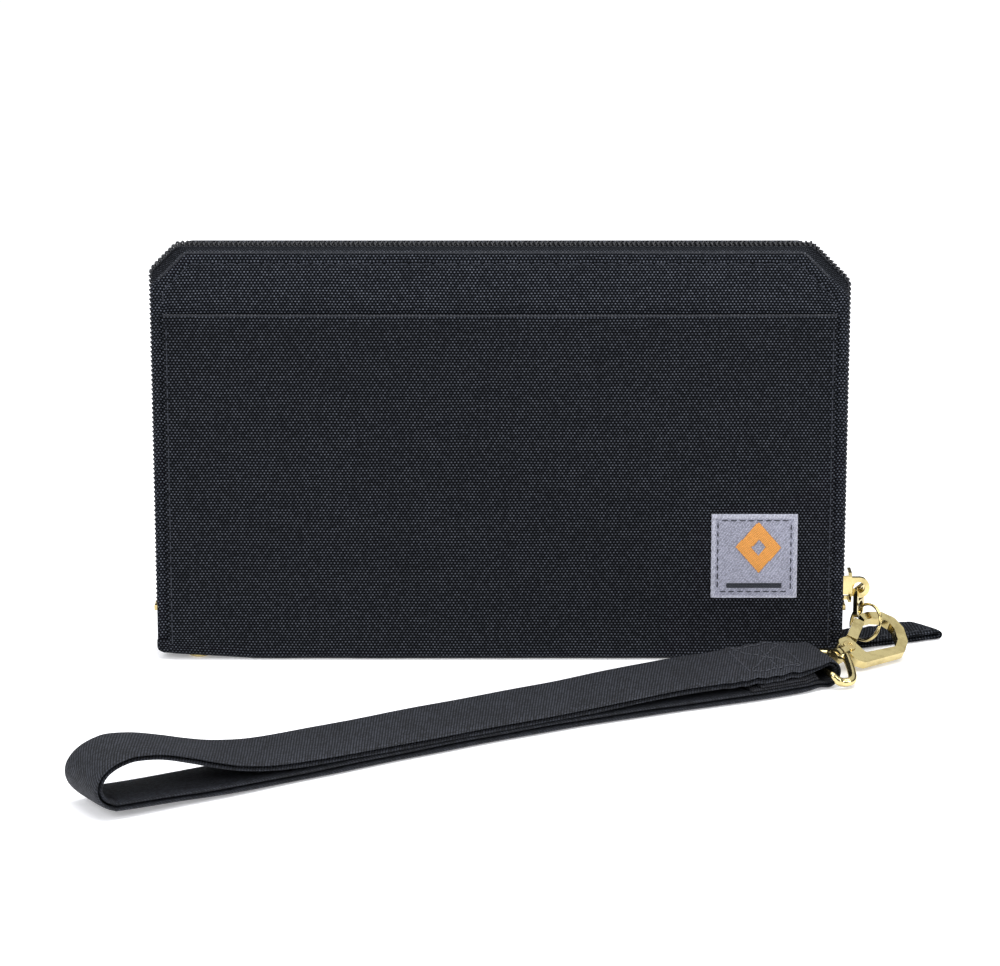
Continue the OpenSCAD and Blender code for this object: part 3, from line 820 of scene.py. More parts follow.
def spine_line(wall):
    y = SPINE_HALF - wall
    bend = [(UNDER_R * (1 - math.cos(a)), UNDER_R * (1 - math.sin(a)) + 0.45) for a in arc_points(0, 90, 9)]
    front = [(-y, FOOT + 2.4)] + [(-y + inward, height) for inward, height in bend]
    return front + [(-depth, height) for depth, height in reversed(front)]


def spine_place(local):
    return raise_left(np.asarray(local, float))


verts, faces, cloth = soft_sheet(
    -HALF_W, HALF_W, spine_line(0.42), 0.8, spine_place, unevenness=0.05, seed=21, columns=120)
verts[:, 2] = np.maximum(verts[:, 2], 0.02)
spine = piece("spine_canvas", (verts, faces, cloth), CANVAS, "duck_canvas", None, ["spine_panel"])
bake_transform(spine)

made = soft_sheet(
    -HALF_W + 1.5, HALF_W - 1.5, [(-8.2, 1.5), (-4, 1.25), (4, 1.25), (8.2, 1.5)], 0.6, spine_place,
    unevenness=0.03, seed=22, columns=80)
piece("spine_lining_cloth", made, LINING, "lining_fabric", "front_half", ["spine_lining"])

# ---------- Zip ----------

TAPE_EDGE = 0.75
ZIP_TAPE_T = 0.45
ZIP_SWELL = 1.9
COIL_PITCH = 1.4
COIL_POWER = 0.7
COIL_LIFT = 0.5
COIL_Y = 1.15
COIL_REACH = 1.1
ZIP_STITCH_Y = 2.9
WIRE_R = 0.29


def zip_outline(inset, foot):
    """The zip's run at an inset. It turns the corners in a wider, rounder sweep than the covers do."""
    path = cover_path(inset, foot)
    side_x = HALF_W - inset
    for sign, cut in ((-1, LEFT_CUT), (1, RIGHT_CUT)):
        corner = np.array([sign * side_x, TOP - inset])
        reach = (sign * path[:, 0] - (side_x - cut)) / cut + (path[:, 1] - (TOP - inset - cut)) / cut
        near = smooth(1 - np.abs(reach - 1) / 1.3) * (reach > -0.3)
        beyond = np.clip(np.minimum(1, 2.2 - np.linalg.norm(path - corner, axis=1) / cut), 0, 1)
        move = ZIP_SWELL * near * smooth(beyond)
        path = path + move[:, None] * np.array([sign, 1]) / math.sqrt(2)
    path[:, 0] = np.clip(path[:, 0], -side_x, side_x)
    path[:, 1] = np.minimum(path[:, 1], TOP - inset)
    return path


def denser(path, times):
    at = np.linspace(0, len(path) - 1, (len(path) - 1) * times + 1)
    return np.stack([np.interp(at, np.arange(len(path)), path[:, k]) for k in (0, 1)], axis=1)


def build_zip(side, body, word):
    start_path = denser(cover_path(0.7, COIL_FOOT - 2), 3)
    path = denser(zip_outline(0.15, COIL_FOOT - 2), 3)
    outward = outward_at(path)
    rows = []
    inner_y = COVER_Y - COVER_T - (path[:, 1] - FOOT) * math.tan(LEAN) + 0.9
    for share in np.linspace(0, 1, 7):
        y = inner_y * (1 - share) + TAPE_EDGE * share
        bulge = 0.35 * math.sin(math.pi * share)
        spot = start_path + (path - start_path) * smooth(share) + outward * bulge
        rows.append(in_rows(spot[:, 0], side * y, spot[:, 1]))
    inner_rows = [row - ZIP_TAPE_T * in_rows(outward[:, 0], 0, outward[:, 1]) for row in rows]
    loop = rows + inner_rows[::-1]
    count = len(path)
    verts = np.concatenate(loop)
    faces = grid_faces(len(loop), count, close_rows=True)
    faces.append(tuple(k * count for k in range(len(loop))))
    faces.append(tuple(k * count + count - 1 for k in range(len(loop))))
    lengths = distances(path)
    cloth = np.stack([np.tile(lengths, len(loop)), verts[:, 1], np.zeros(len(verts))], axis=1)
    piece(f"{word}_zip_tape_cloth", (verts, faces, cloth), TAPE, "zip_tape", body, [f"{word}_zip_tape"])

    centre = resample(zip_outline(-0.3, COIL_FOOT), 0.14)
    lengths = distances(centre)
    outward = outward_at(centre)
    phase = TAU * lengths / COIL_PITCH + (0 if side < 0 else math.pi)
    lift = np.sin(phase) * COIL_LIFT
    y = side * (COIL_Y - COIL_REACH * squared(np.cos(phase), COIL_POWER))
    helix = in_rows(centre[:, 0] + outward[:, 0] * lift, y, centre[:, 1] + outward[:, 1] * lift)
    piece(f"{word}_zip_coil_wire", tube(helix, WIRE_R, sides=6), COIL, "zip_coil", body, [f"{word}_zip_coil"])

    outward = outward_at(path)
    row = in_rows(path[:, 0] + outward[:, 0] * 0.3, side * ZIP_STITCH_Y, path[:, 1] + outward[:, 1] * 0.3)
    keep = (path[:, 1] > COIL_FOOT - 1) | (np.abs(path[:, 0]) < HALF_W - 2)
    sew(f"{word}_coil_stitching", [row[keep]], (0, 0, 0.01), NAVY_THREAD, "zip_tape", body,
        length=1.1, gap=0.5, radius=0.14, rise=0.0)
    refined(f"{word}_zip_stops", f"{word}_zip_stop_blocks", GOLD_WORN, "gold_plate", 0.25)


def outward_at(path):
    way = tangents(path)
    return np.stack([-way[:, 1], way[:, 0]], axis=1)


build_zip(-1, "front_half", "front")
build_zip(1, "back_half", "back")

# ---------- Inside ----------

INNER_EDGE = HALF_W - 7


def inner_panel(name, side, low_depth, thickness, foot, top, material, body, replaces, seed, divider=False):
    """A pocket panel on the inside of a cover, with a hemmed mouth and rows of stitches."""
    place = front_place if side < 0 else back_place
    inward_way = -front_outward if side < 0 else -back_outward
    depth = low_depth + thickness / 2
    edge = INNER_EDGE

    def facing_in(local):
        turned = np.array(local, float)
        turned[..., 1] = 2 * depth - turned[..., 1]
        return place(turned)

    line = [(depth, top), (depth, (top + foot) / 2), (depth, foot)]
    made = soft_sheet(-edge, edge, line, thickness, facing_in, hem=0.1, bow_depth=18, unevenness=0.05,
                      seed=seed, columns=90)
    piece(name, made, material, "lining_fabric", body, replaces)
    face = depth + thickness / 2 + 0.1
    rows = [in_rows(np.linspace(-edge + 2, edge - 2, 80), face, top - 3.0)]
    if divider:
        rows.append(in_rows(0, face, np.linspace(foot + 1, top - 4, 20)))
    for sign in (-1, 1):
        rows.append(in_rows(sign * (edge - 1.5), face, np.linspace(foot + 1, top - 3.5, 30)))
    sew(f"{name}_stitching", [place(row) for row in rows], inward_way, GREY_THREAD, "lining_fabric", body,
        length=2.2, gap=0.7, radius=0.15, rise=0.1)


SLOT_TOPS = [96, 82, 68, 54]
SLOT_T = 0.6
SLOT_HIDDEN = 24
POCKET_FOOT = 6
for number, slot_top in enumerate(SLOT_TOPS):
    foot = POCKET_FOOT if number == len(SLOT_TOPS) - 1 else slot_top - SLOT_HIDDEN
    inner_panel(
        f"card_slot_panel_{number + 1}", -1, COVER_T + 0.1 + SLOT_T * number, SLOT_T - 0.08, foot, slot_top,
        SLOT_FABRIC, "front_half", [f"card_slot_{number + 1}"], 40 + number, divider=True)

BILL_T = 0.6
COIN_Y = COVER_T + BILL_T + 0.8
COIN_T = 0.6
COIN_SPLIT = 76.0
COIN_BAND = 5.0
COIN_COIL_PITCH = 1.2
inner_panel("bill_pocket_panel", 1, COVER_T + 0.08, BILL_T - 0.1, POCKET_FOOT, 100, SLOT_FABRIC, "back_half",
            ["bill_pocket"], 51)
inner_panel("coin_pocket_front", 1, COIN_Y, COIN_T, 8, COIN_SPLIT, LINING, "back_half",
            ["coin_pocket_lower"], 52)
inner_panel("coin_pocket_head", 1, COIN_Y, COIN_T, COIN_SPLIT + COIN_BAND, 96, LINING, "back_half",
            ["coin_pocket_upper"], 53)


def build_coin_zip():
    pitch = COIN_COIL_PITCH
    middle = COIN_SPLIT + COIN_BAND / 2
    tapes = []
    coils = []
    for sign in (-1, 1):
        low, high = sorted((middle + sign * 0.35, middle + sign * (COIN_BAND / 2 + 0.8)))
        line = [(COIN_Y + 0.2, high), (COIN_Y + 0.2, low)]
        tapes.append(soft_sheet(
            -INNER_EDGE, INNER_EDGE, line, 0.35, back_place, unevenness=0.02, seed=60, columns=60))
        xs = np.arange(-INNER_EDGE + 2, INNER_EDGE - 2, pitch / 10)
        phase = TAU * xs / pitch + (0 if sign < 0 else math.pi)
        z = middle + sign * (0.85 - 0.8 * squared(np.cos(phase), COIL_POWER))
        depth = COIN_Y + 0.95 + 0.42 * np.sin(phase)
        coils.append(tube(back_place(in_rows(xs, depth, z)), 0.25, sides=5))
    piece("coin_zip_tapes", join(tapes), TAPE, "zip_tape", "back_half", ["coin_zip_tape"])
    piece("coin_zip_coils", join(coils), COIL, "zip_coil", "back_half", ["coin_zip_coil"])


build_coin_zip()

# ---------- Label ----------


LABEL_X = (LABEL_LOW[0] + LABEL_HIGH[0]) / 2 + 0.5
LABEL_Z = (LABEL_LOW[2] + LABEL_HIGH[2]) / 2 + 0.45
LABEL_HALF = (LABEL_HIGH[0] - LABEL_LOW[0]) / 2 - 0.45
LABEL_BACK = POCKET_DEPTH - 0.42
LABEL_T = 0.55
LABEL_FACE = LABEL_BACK - LABEL_T
LABEL_BORDER = 1.15
EMBLEM_X = LABEL_X + 1.2
EMBLEM_Z = LABEL_Z + 2.6
EMBLEM_HALF_X = 6.6
EMBLEM_HALF_Z = 7.6
EMBLEM_HOLE = 0.32
EMBLEM_SLANT = 1.25
BAR_HALF = 8


def label_plate(x0, x1, z0, z1, depth, thickness, seed, columns=40):
    middle = depth - thickness / 2
    line = [(middle, LABEL_Z + z1), (middle, LABEL_Z + (z0 + z1) / 2), (middle, LABEL_Z + z0)]
    return soft_sheet(LABEL_X + x0, LABEL_X + x1, line, thickness, front_place, unevenness=0.05, seed=seed,
                      columns=columns, edge_roll=0.3)


def label_thread(line, radius):
    return tube(front_place(line), radius, sides=6, reference=front_outward, squash=0.7)


def runs_of(flags):
    """The (start, stop) of each unbroken run of true flags."""
    edges = np.flatnonzero(np.diff(np.concatenate([[False], flags, [False]])))
    return edges.reshape(-1, 2)


def emblem_threads():
    """Slanting threads that fill a diamond with a diamond hole."""
    threads = []
    across = np.linspace(-12, 12, 241)
    for offset in np.arange(-EMBLEM_HALF_X - EMBLEM_HALF_Z, EMBLEM_HALF_X + EMBLEM_HALF_Z, 0.42):
        up = across * EMBLEM_SLANT + offset
        reach = np.abs(across) / EMBLEM_HALF_X + np.abs(up) / EMBLEM_HALF_Z
        for start, stop in runs_of((reach < 1) & (reach > EMBLEM_HOLE)):
            if stop - start > 5:
                line = in_rows(EMBLEM_X + across[start:stop], LABEL_FACE - 0.1, EMBLEM_Z + up[start:stop])
                threads.append(label_thread(resample(line, 0.8), 0.25))
    return threads


def build_label():
    half, border = LABEL_HALF, LABEL_BORDER
    ground = label_plate(-half, half, -half, half, LABEL_BACK, LABEL_T, 70)
    piece("label_ground", ground, LABEL, "label_weave", "front_half", ["label_patch"])
    edges = [
        (-half - 0.1, half + 0.1, half - border, half + 0.15),
        (-half - 0.1, half + 0.1, -half - 0.15, -half + border),
        (-half - 0.15, -half + border, -half, half),
        (half - border, half + 0.15, -half, half)]
    parts = [label_plate(*edge, LABEL_FACE + 0.35, 0.45, 71 + k, columns=24) for k, edge in enumerate(edges)]
    piece("label_border", join(parts), LABEL_EDGE, "label_weave", "front_half")
    ring = half - 1.75
    corners = ring * np.array([(-1, -1), (1, -1), (1, 1), (-1, 1), (-1, -1)])
    rows = []
    for a, b in zip(corners, corners[1:]):
        line = np.linspace(a, b, 20)
        rows.append(front_place(in_rows(LABEL_X + line[:, 0], LABEL_FACE - 0.02, LABEL_Z + line[:, 1])))
    sew("label_stitching", rows, front_outward, NAVY_THREAD, "label_weave", "front_half",
        length=1.75, gap=0.75, radius=0.17)
    piece("label_emblem_threads", join(emblem_threads()), ORANGE_THREAD, "label_weave", "front_half")
    bar_x = np.linspace(LABEL_X - BAR_HALF, LABEL_X + BAR_HALF, 12)
    bars = [label_thread(in_rows(bar_x, LABEL_FACE - 0.08, LABEL_Z - 8.3 - 0.5 * k), 0.24) for k in range(3)]
    piece("label_bar_threads", join(bars), NAVY_THREAD, "label_weave", "front_half")


build_label()

# ---------- Folded strips: the strap and the zip's end tab ----------


BAND_POWER = 0.625


def strip(stations, sides=16, closed=False):
    """A rounded band through stations of (centre, across, up, half width, half thickness)."""
    angles = np.arange(sides) * TAU / sides
    across = squared(np.cos(angles), BAND_POWER)
    up = squared(np.sin(angles), BAND_POWER)
    runs = distances(np.array([station[0] for station in stations]))
    verts, cloth = [], []
    for run, (centre, side_way, up_way, half_w, half_t) in zip(runs, stations):
        verts.append(centre + half_w * np.outer(across, side_way) + half_t * np.outer(up, up_way))
        cloth.append(in_rows(run, half_w * across, half_t * up))
    faces = grid_faces(len(stations), sides, close_rows=closed, close_columns=True)
    if not closed:
        faces += [tuple(range(sides)), tuple(range((len(stations) - 1) * sides, len(stations) * sides))]
    return np.concatenate(verts), faces, np.concatenate(cloth)


def curve_through(points, per_span=8, closed=False):
    """A smooth line through points (Catmull-Rom)."""
    points = np.asarray(points, float)
    count = len(points)
    spans = count if closed else count - 1
    out = []
    for i in range(spans):
        if closed:
            p = [points[(i + k) % count] for k in (-1, 0, 1, 2)]
        else:
            p = [points[min(max(i + k, 0), count - 1)] for k in (-1, 0, 1, 2)]
        for t in np.arange(per_span) / per_span:
            out.append(0.5 * (2 * p[1] + (p[2] - p[0]) * t + (2 * p[0] - 5 * p[1] + 4 * p[2] - p[3]) * t ** 2
                              + (3 * p[1] - 3 * p[2] + p[3] - p[0]) * t ** 3))
    if not closed:
        out.append(points[-1])
    return np.array(out)


STRAP_BEND = 1170.0
STRAP_HEADING = math.radians(180 + 21.5)
STRAP_RUN = 184.0
STRAP_T = 0.7
EYE = joint_point("strap_fold")
EYE_WRAP = 3.2
TIP_S, TIP_Z, TIP_R = 215.6, 8.9, 6.9
TIP_HEEL = 6.0
TIP_BROW = 11.5
NEAR_DRIFT = 4.0
TIP_DRIFT = 9.0
# Rows are (distance from the eye, height, half ply thickness, roll in degrees, half width)
LOW_RUN = [
    (3, 1.75, 0.55, 0, 9.3), (7, 1.7, 0.72, 0, 9.9), (12, 1.7, 0.8, 0, 10), (26, 1.7, 0.8, 0, 10),
    (45, 1.65, 0.78, 0, 10), (70, 1.62, 0.77, 0, 10), (100, 1.62, 0.77, 0, 10), (130, 1.62, 0.77, 0, 10),
    (160, 1.66, 0.76, 0, 10), (185, 1.85, 0.74, -1.5, 10), (202, 2.4, 0.72, -3, 10)]
HIGH_RUN = [
    (204, 14.9, 0.7, 0, 10), (196, 12.6, 0.7, 1, 10), (188, 9.9, 0.72, 2, 10), (180, 7.7, 0.74, 3, 10),
    (169, 6.1, 0.76, 4, 10), (150, 5.4, 0.77, 5, 10), (130, 5.2, 0.77, 6, 10), (100, 5.2, 0.77, 6.5, 10),
    (80, 5.5, 0.77, 7, 10), (66, 6.2, 0.77, 7, 10), (52, 7.0, 0.78, 7, 10), (42, 7.4, 0.8, 7, 10),
    (30, 7.5, 0.84, 7.5, 10), (20, 7.8, 0.9, 9, 10), (13, 7.8, 0.9, 9, 10), (7, 7.6, 0.75, 7, 9.8),
    (3, 7.6, 0.55, 4, 9.4)]
# Tucked layers are (height, from, to, half thickness, roll in degrees)
TUCKS = [(3.7, 2.9, 25, 0.62, 2), (5.1, 3.6, 22, 0.6, 6)]
LAP_START, LAP_MIDDLE, LAP_END = 8.0, 15.5, 24.5
LAP_HALF = 7.6


def plan_point(s):
    """Place and heading of the strap's middle line, seen from above, at a distance s from the eye's bar."""
    bent = min(s, STRAP_RUN)
    turn = bent / STRAP_BEND
    local = np.array([STRAP_BEND * math.sin(turn), STRAP_BEND * (1 - math.cos(turn))])
    local += max(s - STRAP_RUN, 0) * compass(turn)
    ahead, aside = compass(STRAP_HEADING)
    turned = [ahead * local[0] - aside * local[1], aside * local[0] + ahead * local[1]]
    place = EYE[:2] + turned
    place[1] -= NEAR_DRIFT * smooth((s + 18) / 46) + TIP_DRIFT * smooth((s - 60) / 160)
    heading = STRAP_HEADING + turn
    return place, compass(heading)


def strap_carrier():
    """The strap's middle line from the side, all the way round, in rows like those of LOW_RUN."""
    tip = []
    for a in arc_points(-90, 90, 11):
        reach = TIP_R if a < 0 else TIP_BROW
        rise = TIP_HEEL if a < 0 else TIP_R
        roll = -3 + 3 * (math.degrees(a) + 90) / 180
        tip.append((TIP_S + TIP_R - reach * (1 - math.cos(a)), TIP_Z + rise * math.sin(a), STRAP_T, roll, 10))
    wrap = [(EYE_WRAP * math.cos(a), EYE[2] + EYE_WRAP * math.sin(a), 0.5, 1.5, 9.2)
            for a in arc_points(90, 270, 9)]
    return curve_through(LOW_RUN + tip + HIGH_RUN + wrap, per_span=6, closed=True)


def rolled_side(heading, roll, share=1.0):
    """The way across the strap towards the wallet, raised by a roll in degrees."""
    flat = np.array([-heading[1], heading[0], 0])
    rear = -flat if flat[1] < 0 else flat
    tilt = math.radians(roll)
    return math.cos(tilt) * rear + math.sin(tilt) * UP * share


def strap_band(which):
    """One of the strap's two plies all the way round: the outer one (1) or the inner one (-1)."""
    carrier = strap_carrier()
    count = len(carrier)
    stations = []
    for i in range(count):
        s, z, half_t, roll, half_w = carrier[i]
        ahead, behind = carrier[(i + 1) % count], carrier[i - 1]
        slope = unit([ahead[0] - behind[0], ahead[1] - behind[1]])
        normal = np.array([slope[1], -slope[0]])
        offset = which * half_t * 1.02
        place, heading = plan_point(s + normal[0] * offset)
        centre = np.array([place[0], place[1], z + normal[1] * offset])
        way = unit([heading[0] * slope[0], heading[1] * slope[0], slope[1]])
        side_way = rolled_side(heading, roll, abs(slope[0]))
        side_way = unit(side_way - (side_way @ way) * way)
        up_way = unit(np.cross(way, side_way))
        wear = 0.12 * math.sin(s * 0.21 + which) * smooth((s - 30) / 20)
        if z > EYE[2]:
            lumps = 0.2 * math.sin(1.15 * s) + 0.16 * math.sin(0.55 * s + 1)
            centre[2] += lumps * smooth((s - 5) / 4) * smooth((38 - s) / 10)
        narrower = 0.35 if which < 0 else 0
        stations.append((centre, side_way, up_way, half_w - narrower + wear, half_t * 0.96))
    return stations


def tucked_layer(height, from_s, to_s, half_t, roll):
    """A flat layer of webbing inside the lap."""
    stations = []
    for s in np.linspace(from_s, to_s, 24):
        place, heading = plan_point(s)
        side_way = unit(rolled_side(heading, roll))
        way = np.array([heading[0], heading[1], 0])
        half_w = 8.3 + 1.4 * smooth((s - from_s) / 5)
        centre = np.array([place[0], place[1], height])
        stations.append((centre, side_way, unit(np.cross(way, side_way)), half_w, half_t))
    return strip(stations)


def lap_rows(top):
    """The stitches on the lap: a box with a middle bar and a cross."""

    def apart(station, s):
        """How far a station is from the place s, with those of the low run put out of reach."""
        return abs(np.linalg.norm(station[0][:2] - plan_point(s)[0])) + (50 if station[0][2] < 6.5 else 0)

    def on_top(s, across):
        best = min(top, key=lambda station: apart(station, s))
        up = best[2] if best[2][2] > 0 else -best[2]
        centre = np.array([*plan_point(s)[0], best[0][2]])
        return centre + across * best[1] + up * (best[4] + 0.02)

    lap = np.linspace(LAP_START, LAP_END, 14)
    rows = [[on_top(s, across) for s in lap] for across in (-LAP_HALF, LAP_HALF)]
    for s in (LAP_START, LAP_MIDDLE, LAP_END):
        rows.append([on_top(s, across) for across in np.linspace(-LAP_HALF, LAP_HALF, 14)])
    for side in (-LAP_HALF, LAP_HALF):
        crossing = zip(np.linspace(LAP_START, LAP_END, 16), np.linspace(side, -side, 16))
        rows.append([on_top(s, across) for s, across in crossing])
    return [np.array(row) for row in rows]


def build_strap():
    outer = strap_band(1)
    verts, faces, cloth = strip(outer, closed=True)
    verts[:, 2] = np.maximum(verts[:, 2], 0.05)
    made = (verts, faces, cloth)
    piece("strap_outer_ply", made, STRAP_TWILL, "strap_web", "strap", ["strap_runs", "strap_loop"])
    inner = strip(strap_band(-1), closed=True)
    piece("strap_inner_ply", inner, STRAP_TWILL, "strap_web", "strap", ["strap_end_lap"])
    tucks = join([tucked_layer(*tuck) for tuck in TUCKS])
    piece("strap_tucked_end", tucks, STRAP_EDGE, "strap_web", "strap")
    sew("strap_lap_stitching", lap_rows(outer), UP, GREY_THREAD, "strap_web", "strap", length=1.5, gap=0.55,
        radius=0.2, rise=0.14)


build_strap()

TAB_YAW = math.radians(22)
TAB_NEAR = np.array([HALF_W, -5.0])
TAB_W = 12.5
TAB_LEN = 33.6
TAB_HEM = 1.5
TAB_END_HEM = 2.2
TAB_SLANT = 0.34
# Profiles are (distance from the wallet, height)
TAB_UNDER = [(-2.0, 1.6), (3.0, 1.3), (8, 0.82), (16, 0.78), (24, 0.78), (31, 0.8)]
TAB_OVER = [(31, 2.42), (24, 2.36), (16, 2.3), (8, 2.42), (3, 2.8), (-2.0, 3.1)]
TAB_THREADS = [(0, 3.6), (3, 3.5), (8, 3.14), (16, 3.02), (24, 3.08), (31, 3.14), (34, 3.05)]


def build_tab():
    along = compass(TAB_YAW)
    across = np.array([-math.sin(TAB_YAW), math.cos(TAB_YAW)])
    middle = TAB_NEAR + across * TAB_W / 2
    fold = [(TAB_LEN - 0.9 + 0.8 * math.cos(a), 1.6 + 0.8 * math.sin(a)) for a in arc_points(-80, 80, 7)]
    line = curve_through(TAB_UNDER + fold + TAB_OVER, per_span=5)
    way = tangents(line)
    stations = []

    def slanted(points):
        """How much shorter the tab is at these points: its end runs at a slant."""
        flat = points[:, :2] - TAB_NEAR
        return TAB_SLANT * (flat @ across) * smooth((flat @ along - 12) / 18)

    for (s, z), (ds, dz) in zip(line, way):
        centre = np.array([*(middle + along * s), z])
        direction = unit([along[0] * ds, along[1] * ds, dz])
        side_way = np.array([across[0], across[1], 0.0])
        edge = TAB_W / 2 - 0.12 * math.sin(s * 0.7)
        stations.append((centre, side_way, unit(np.cross(direction, side_way)), edge, 0.72))
    verts, faces, cloth = strip(stations, sides=18)
    verts[:, 2] = np.maximum(verts[:, 2], 0.05)
    verts[:, :2] -= slanted(verts)[:, None] * along
    piece("zip_end_tab_cloth", (verts, faces, cloth), CANVAS, "duck_canvas", "front_half", ["zip_end_tab"])
    rows = []
    for offset in (TAB_HEM, TAB_W - TAB_HEM):
        start = TAB_NEAR + across * offset
        spots = np.linspace(2.5, TAB_LEN - TAB_END_HEM, 24)
        heights = np.interp(spots, *zip(*TAB_THREADS))
        rows.append(in_rows(start[0] + along[0] * spots, start[1] + along[1] * spots, heights))
    spots = np.linspace(TAB_HEM, TAB_W - TAB_HEM, 12)
    end = TAB_NEAR + along * (TAB_LEN - TAB_END_HEM)
    rows.append(in_rows(end[0] + across[0] * spots, end[1] + across[1] * spots, 3.12))
    for row in rows:
        row[:, :2] -= slanted(row)[:, None] * along
    sew("zip_end_tab_stitching", rows, UP, NAVY_THREAD, "duck_canvas", "front_half")


build_tab()

# ---------- Hardware ----------

STUD_ANGLE = 40
# Each row is a CAD node, its piece, its material, its slot, the size of its rounded edges and, for the
# stud, the least angle in degrees of an edge that is rounded
HARDWARE = [
    ("spine_rivet", "spine_stud", GOLD_WORN, "gold_plate", 0.12, STUD_ANGLE),
    ("zip_slider", "zip_slider_body", GOLD, "gold_plate", 0.28),
    ("pull_link", "pull_link_plate", GOLD, "gold_plate", 0.22),
    ("clasp_frame", "clasp_frame_cast", GOLD, "gold_plate", 0.5),
    ("gate_rivet", "gate_rivet_head", GOLD_WORN, "gold_plate", 0.12),
    ("gate_spring", "gate_spring_band", STEEL, "steel_spring", 0.05),
    ("clasp_gate", "clasp_gate_lever", GOLD, "gold_plate", 0.35),
    ("swivel_post", "swivel_post_pin", GOLD_WORN, "gold_plate", 0.15),
    ("coin_slider", "coin_slider_body", GOLD, "gold_plate", 0.2),
    ("coin_puller", "coin_puller_tab", GOLD, "gold_plate", 0.15)]
for row in HARDWARE:
    refined(*row)


RING_R = 5.4
RING_WIRE = 0.36
RING_TURN = TAU * 0.985
WIRE_TAPER = np.array([0.6, 0.85, 0.95])


def build_ring():
    """Two turns of wire side by side, the ends left open by a short step."""
    verts = np.array([v.co for v in frame["nodes"]["split_ring"].data.vertices]) / MM
    centre = verts.mean(0)
    _, _, axes = np.linalg.svd(verts - centre, full_matrices=False)
    face = axes[2]
    first = unit(np.cross(face, (0, 0, 1)))
    second = np.cross(face, first)
    turns = np.linspace(0, 2 * RING_TURN, 150)
    step = RING_WIRE * np.tanh((turns - RING_TURN) / 0.5)
    circle = np.outer(np.cos(turns), first) + np.outer(np.sin(turns), second)
    points = centre + RING_R * circle + np.outer(step, face)
    radii = np.full(len(points), RING_WIRE)
    radii[:3] *= WIRE_TAPER
    radii[-3:] *= WIRE_TAPER[::-1]
    made = tube(points, radii, sides=10, reference=face)
    piece("split_ring_wire", made, GOLD, "gold_plate", "ring", ["split_ring"])


build_ring()


BAR_R = 1.0
ARM_R = 1.3
BAR_HALF_LENGTH = 9.6
COLLAR_SIDES = 32
# The collar's section: how far along the post and how far from its middle
COLLAR_PROFILE = [(-0.7, 1.12), (-0.72, 2.1), (-0.5, 2.45), (0.5, 2.45), (0.72, 2.1), (0.7, 1.12)]


def build_eye():
    """A cast D-shaped eye: a round bar for the strap, two arms and a collar on the post."""
    collar = joint_point("eye_swivel")
    axis = joint_axis("eye_swivel")
    across = joint_axis("strap_fold")
    half = BAR_HALF_LENGTH
    ahead = -np.array([*compass(STRAP_HEADING), 0])
    base = EYE.copy()
    neck_side = unit(across - (across @ axis) * axis)
    front = across if across[1] < 0 else -across
    neck_side = neck_side if neck_side @ front > 0 else -neck_side
    loop = [base - half * front, base - half * front * 0.5, base, base + half * front * 0.5,
            base + (half + 1.6) * front - 0.2 * UP, base + (half + 2.6) * front + 2.4 * ahead - 2.3 * UP,
            base + (half + 1.4) * front + 6.6 * ahead - 2.2 * UP, collar + 3.6 * neck_side + 0.2 * axis,
            collar + 2.2 * neck_side, collar - 2.2 * neck_side, collar - 3.6 * neck_side + 0.2 * axis,
            base - (half - 1.2) * front + 4.8 * ahead, base - (half + 0.5) * front + 2.2 * ahead]
    path = curve_through(loop, per_span=8, closed=True)
    near_bar = np.abs((path - base) @ ahead) < BAR_R
    parts = [tube(path, np.where(near_bar, BAR_R, ARM_R), sides=12, closed=True)]
    ring_side = np.cross(axis, neck_side)
    angles = np.arange(COLLAR_SIDES) * TAU / COLLAR_SIDES
    circle = np.outer(np.cos(angles), neck_side) + np.outer(np.sin(angles), ring_side)
    verts = np.concatenate([collar + shift * axis + r * circle for shift, r in COLLAR_PROFILE])
    faces = grid_faces(len(COLLAR_PROFILE), COLLAR_SIDES, close_rows=True, close_columns=True)
    parts.append((verts, faces, verts.copy()))
    piece("swivel_eye_cast", join(parts), GOLD, "gold_plate", "eye", ["swivel_eye"])


build_eye()

for node in ("front_board", "back_board"):
    mesh = frame["nodes"][node].data
    mesh.materials.clear()
    mesh.materials.append(BOARD)


# ---------- Stage, light and camera ----------


FLOOR_HALF = 8.0
# The world's brightness by height, from straight down (0) to straight up (1)
TENT = [(0.0, 0.3), (0.1, 0.06), (0.36, 0.1), (0.52, 1.0), (0.8, 1.0), (1.0, 0.6)]
TENT_COLOUR = np.array([0.96, 0.98, 1.0])
TENT_STRENGTH = 0.9
# Each row is a lamp, its place, what it points at, its size and its power
LAMPS = [
    ("softbox_top", (0.1, -0.1, 1.3), (0, 0, 0), (1.4, 1.0), 16),
    ("softbox_front", (-0.6, -1.2, 0.8), (0, 0, 0.05), (0.6, 0.6), 8),
    ("strip_right", (0.9, -0.6, 0.5), (0.1, 0, 0.03), (0.2, 0.7), 4)]
LENS = 140.5
SENSOR = 36
CAMERA_PLACE = (0, -1.1, 0.345)
CAMERA_PITCH = math.radians(75)


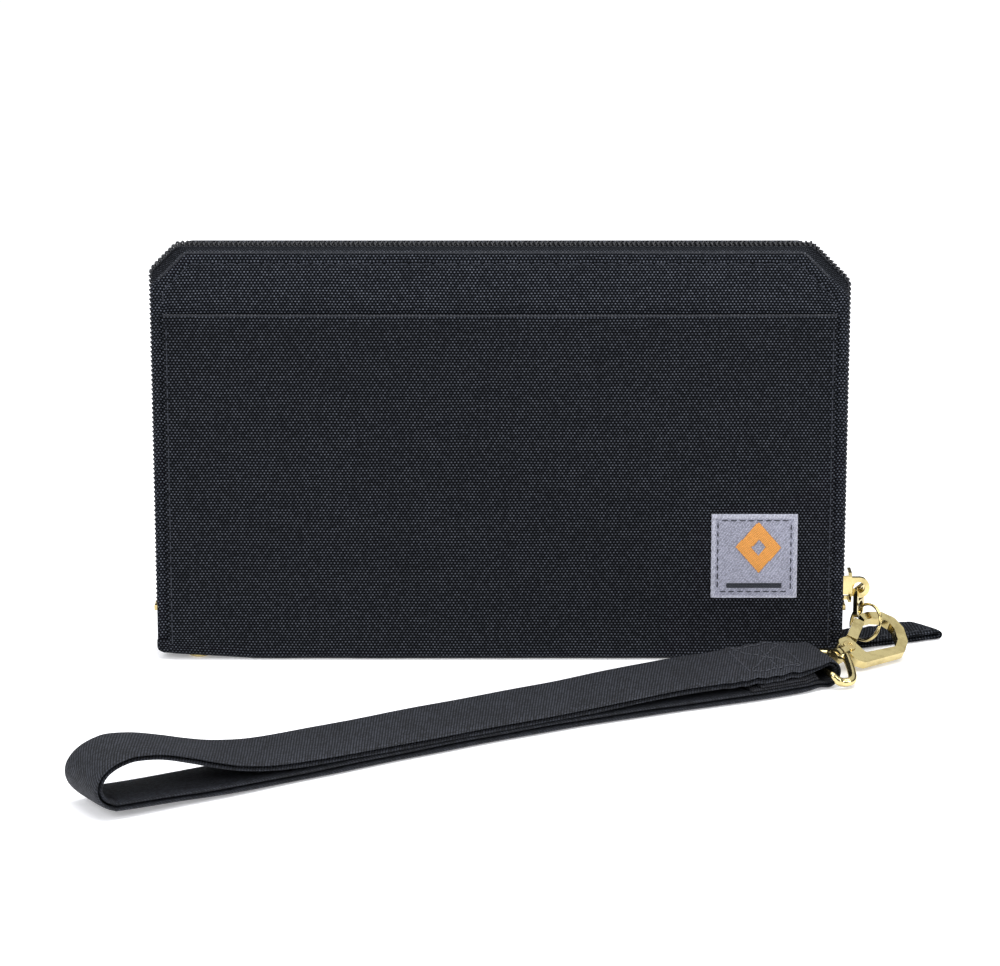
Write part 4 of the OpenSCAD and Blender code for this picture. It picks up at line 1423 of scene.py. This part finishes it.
def build_stage():
    size = FLOOR_HALF
    mesh = bpy.data.meshes.new("floor")
    corners = [(-size, -size, 0), (size, -size, 0), (size, size, 0), (-size, size, 0)]
    mesh.from_pydata(corners, [], [(0, 1, 2, 3)])
    g = Graph("floor_paper", roughness=0.9, specular=0.1)
    greys = [(0.3, (0.89, 0.89, 0.91)), (0.7, (0.91, 0.91, 0.93))]
    g.feed("Base Color", g.ramp(g.noise(g.place(), 40, 3), greys))
    g.set("Emission Color", (0.98, 0.98, 1.0, 1))
    g.set("Emission Strength", 0.3)
    mesh.materials.append(g.material)
    floor = bpy.data.objects.new("floor", mesh)
    bpy.context.scene.collection.objects.link(floor)


def area_light(name, place, target, size, power):
    data = bpy.data.lights.new(name, "AREA")
    data.shape = "RECTANGLE"
    data.size, data.size_y = size
    data.energy = power
    lamp = bpy.data.objects.new(name, data)
    lamp.location = place
    lamp.rotation_euler = (Vector(target) - Vector(place)).to_track_quat("-Z", "Y").to_euler()
    bpy.context.scene.collection.objects.link(lamp)


def build_light():
    """A bright tent overhead with darker walls, so that the metal shows light and dark faces."""
    world = bpy.data.worlds.new("studio")
    world.use_nodes = True
    tree = world.node_tree
    background = tree.nodes["Background"]
    place = tree.nodes.new("ShaderNodeTexCoord")
    parts = tree.nodes.new("ShaderNodeSeparateXYZ")
    ramp = tree.nodes.new("ShaderNodeValToRGB")
    tree.links.new(place.outputs["Generated"], parts.inputs[0])
    tree.links.new(parts.outputs[2], ramp.inputs[0])
    tree.links.new(ramp.outputs[0], background.inputs[0])
    elements = ramp.color_ramp.elements
    while len(elements) < len(TENT):
        elements.new(0.5)
    for element, (position, level) in zip(elements, TENT):
        element.position = position
        element.color = (*(level * TENT_COLOUR), 1)
    background.inputs[1].default_value = TENT_STRENGTH
    bpy.context.scene.world = world
    for lamp in LAMPS:
        area_light(*lamp)


def build_camera():
    data = bpy.data.cameras.new("camera")
    data.lens = LENS
    data.sensor_width = SENSOR
    camera = bpy.data.objects.new("camera", data)
    camera.location = CAMERA_PLACE
    camera.rotation_euler = (CAMERA_PITCH, 0, 0)
    bpy.context.scene.collection.objects.link(camera)
    bpy.context.scene.camera = camera


build_stage()
build_light()
build_camera()
bpy.context.scene.view_settings.view_transform = "Standard"
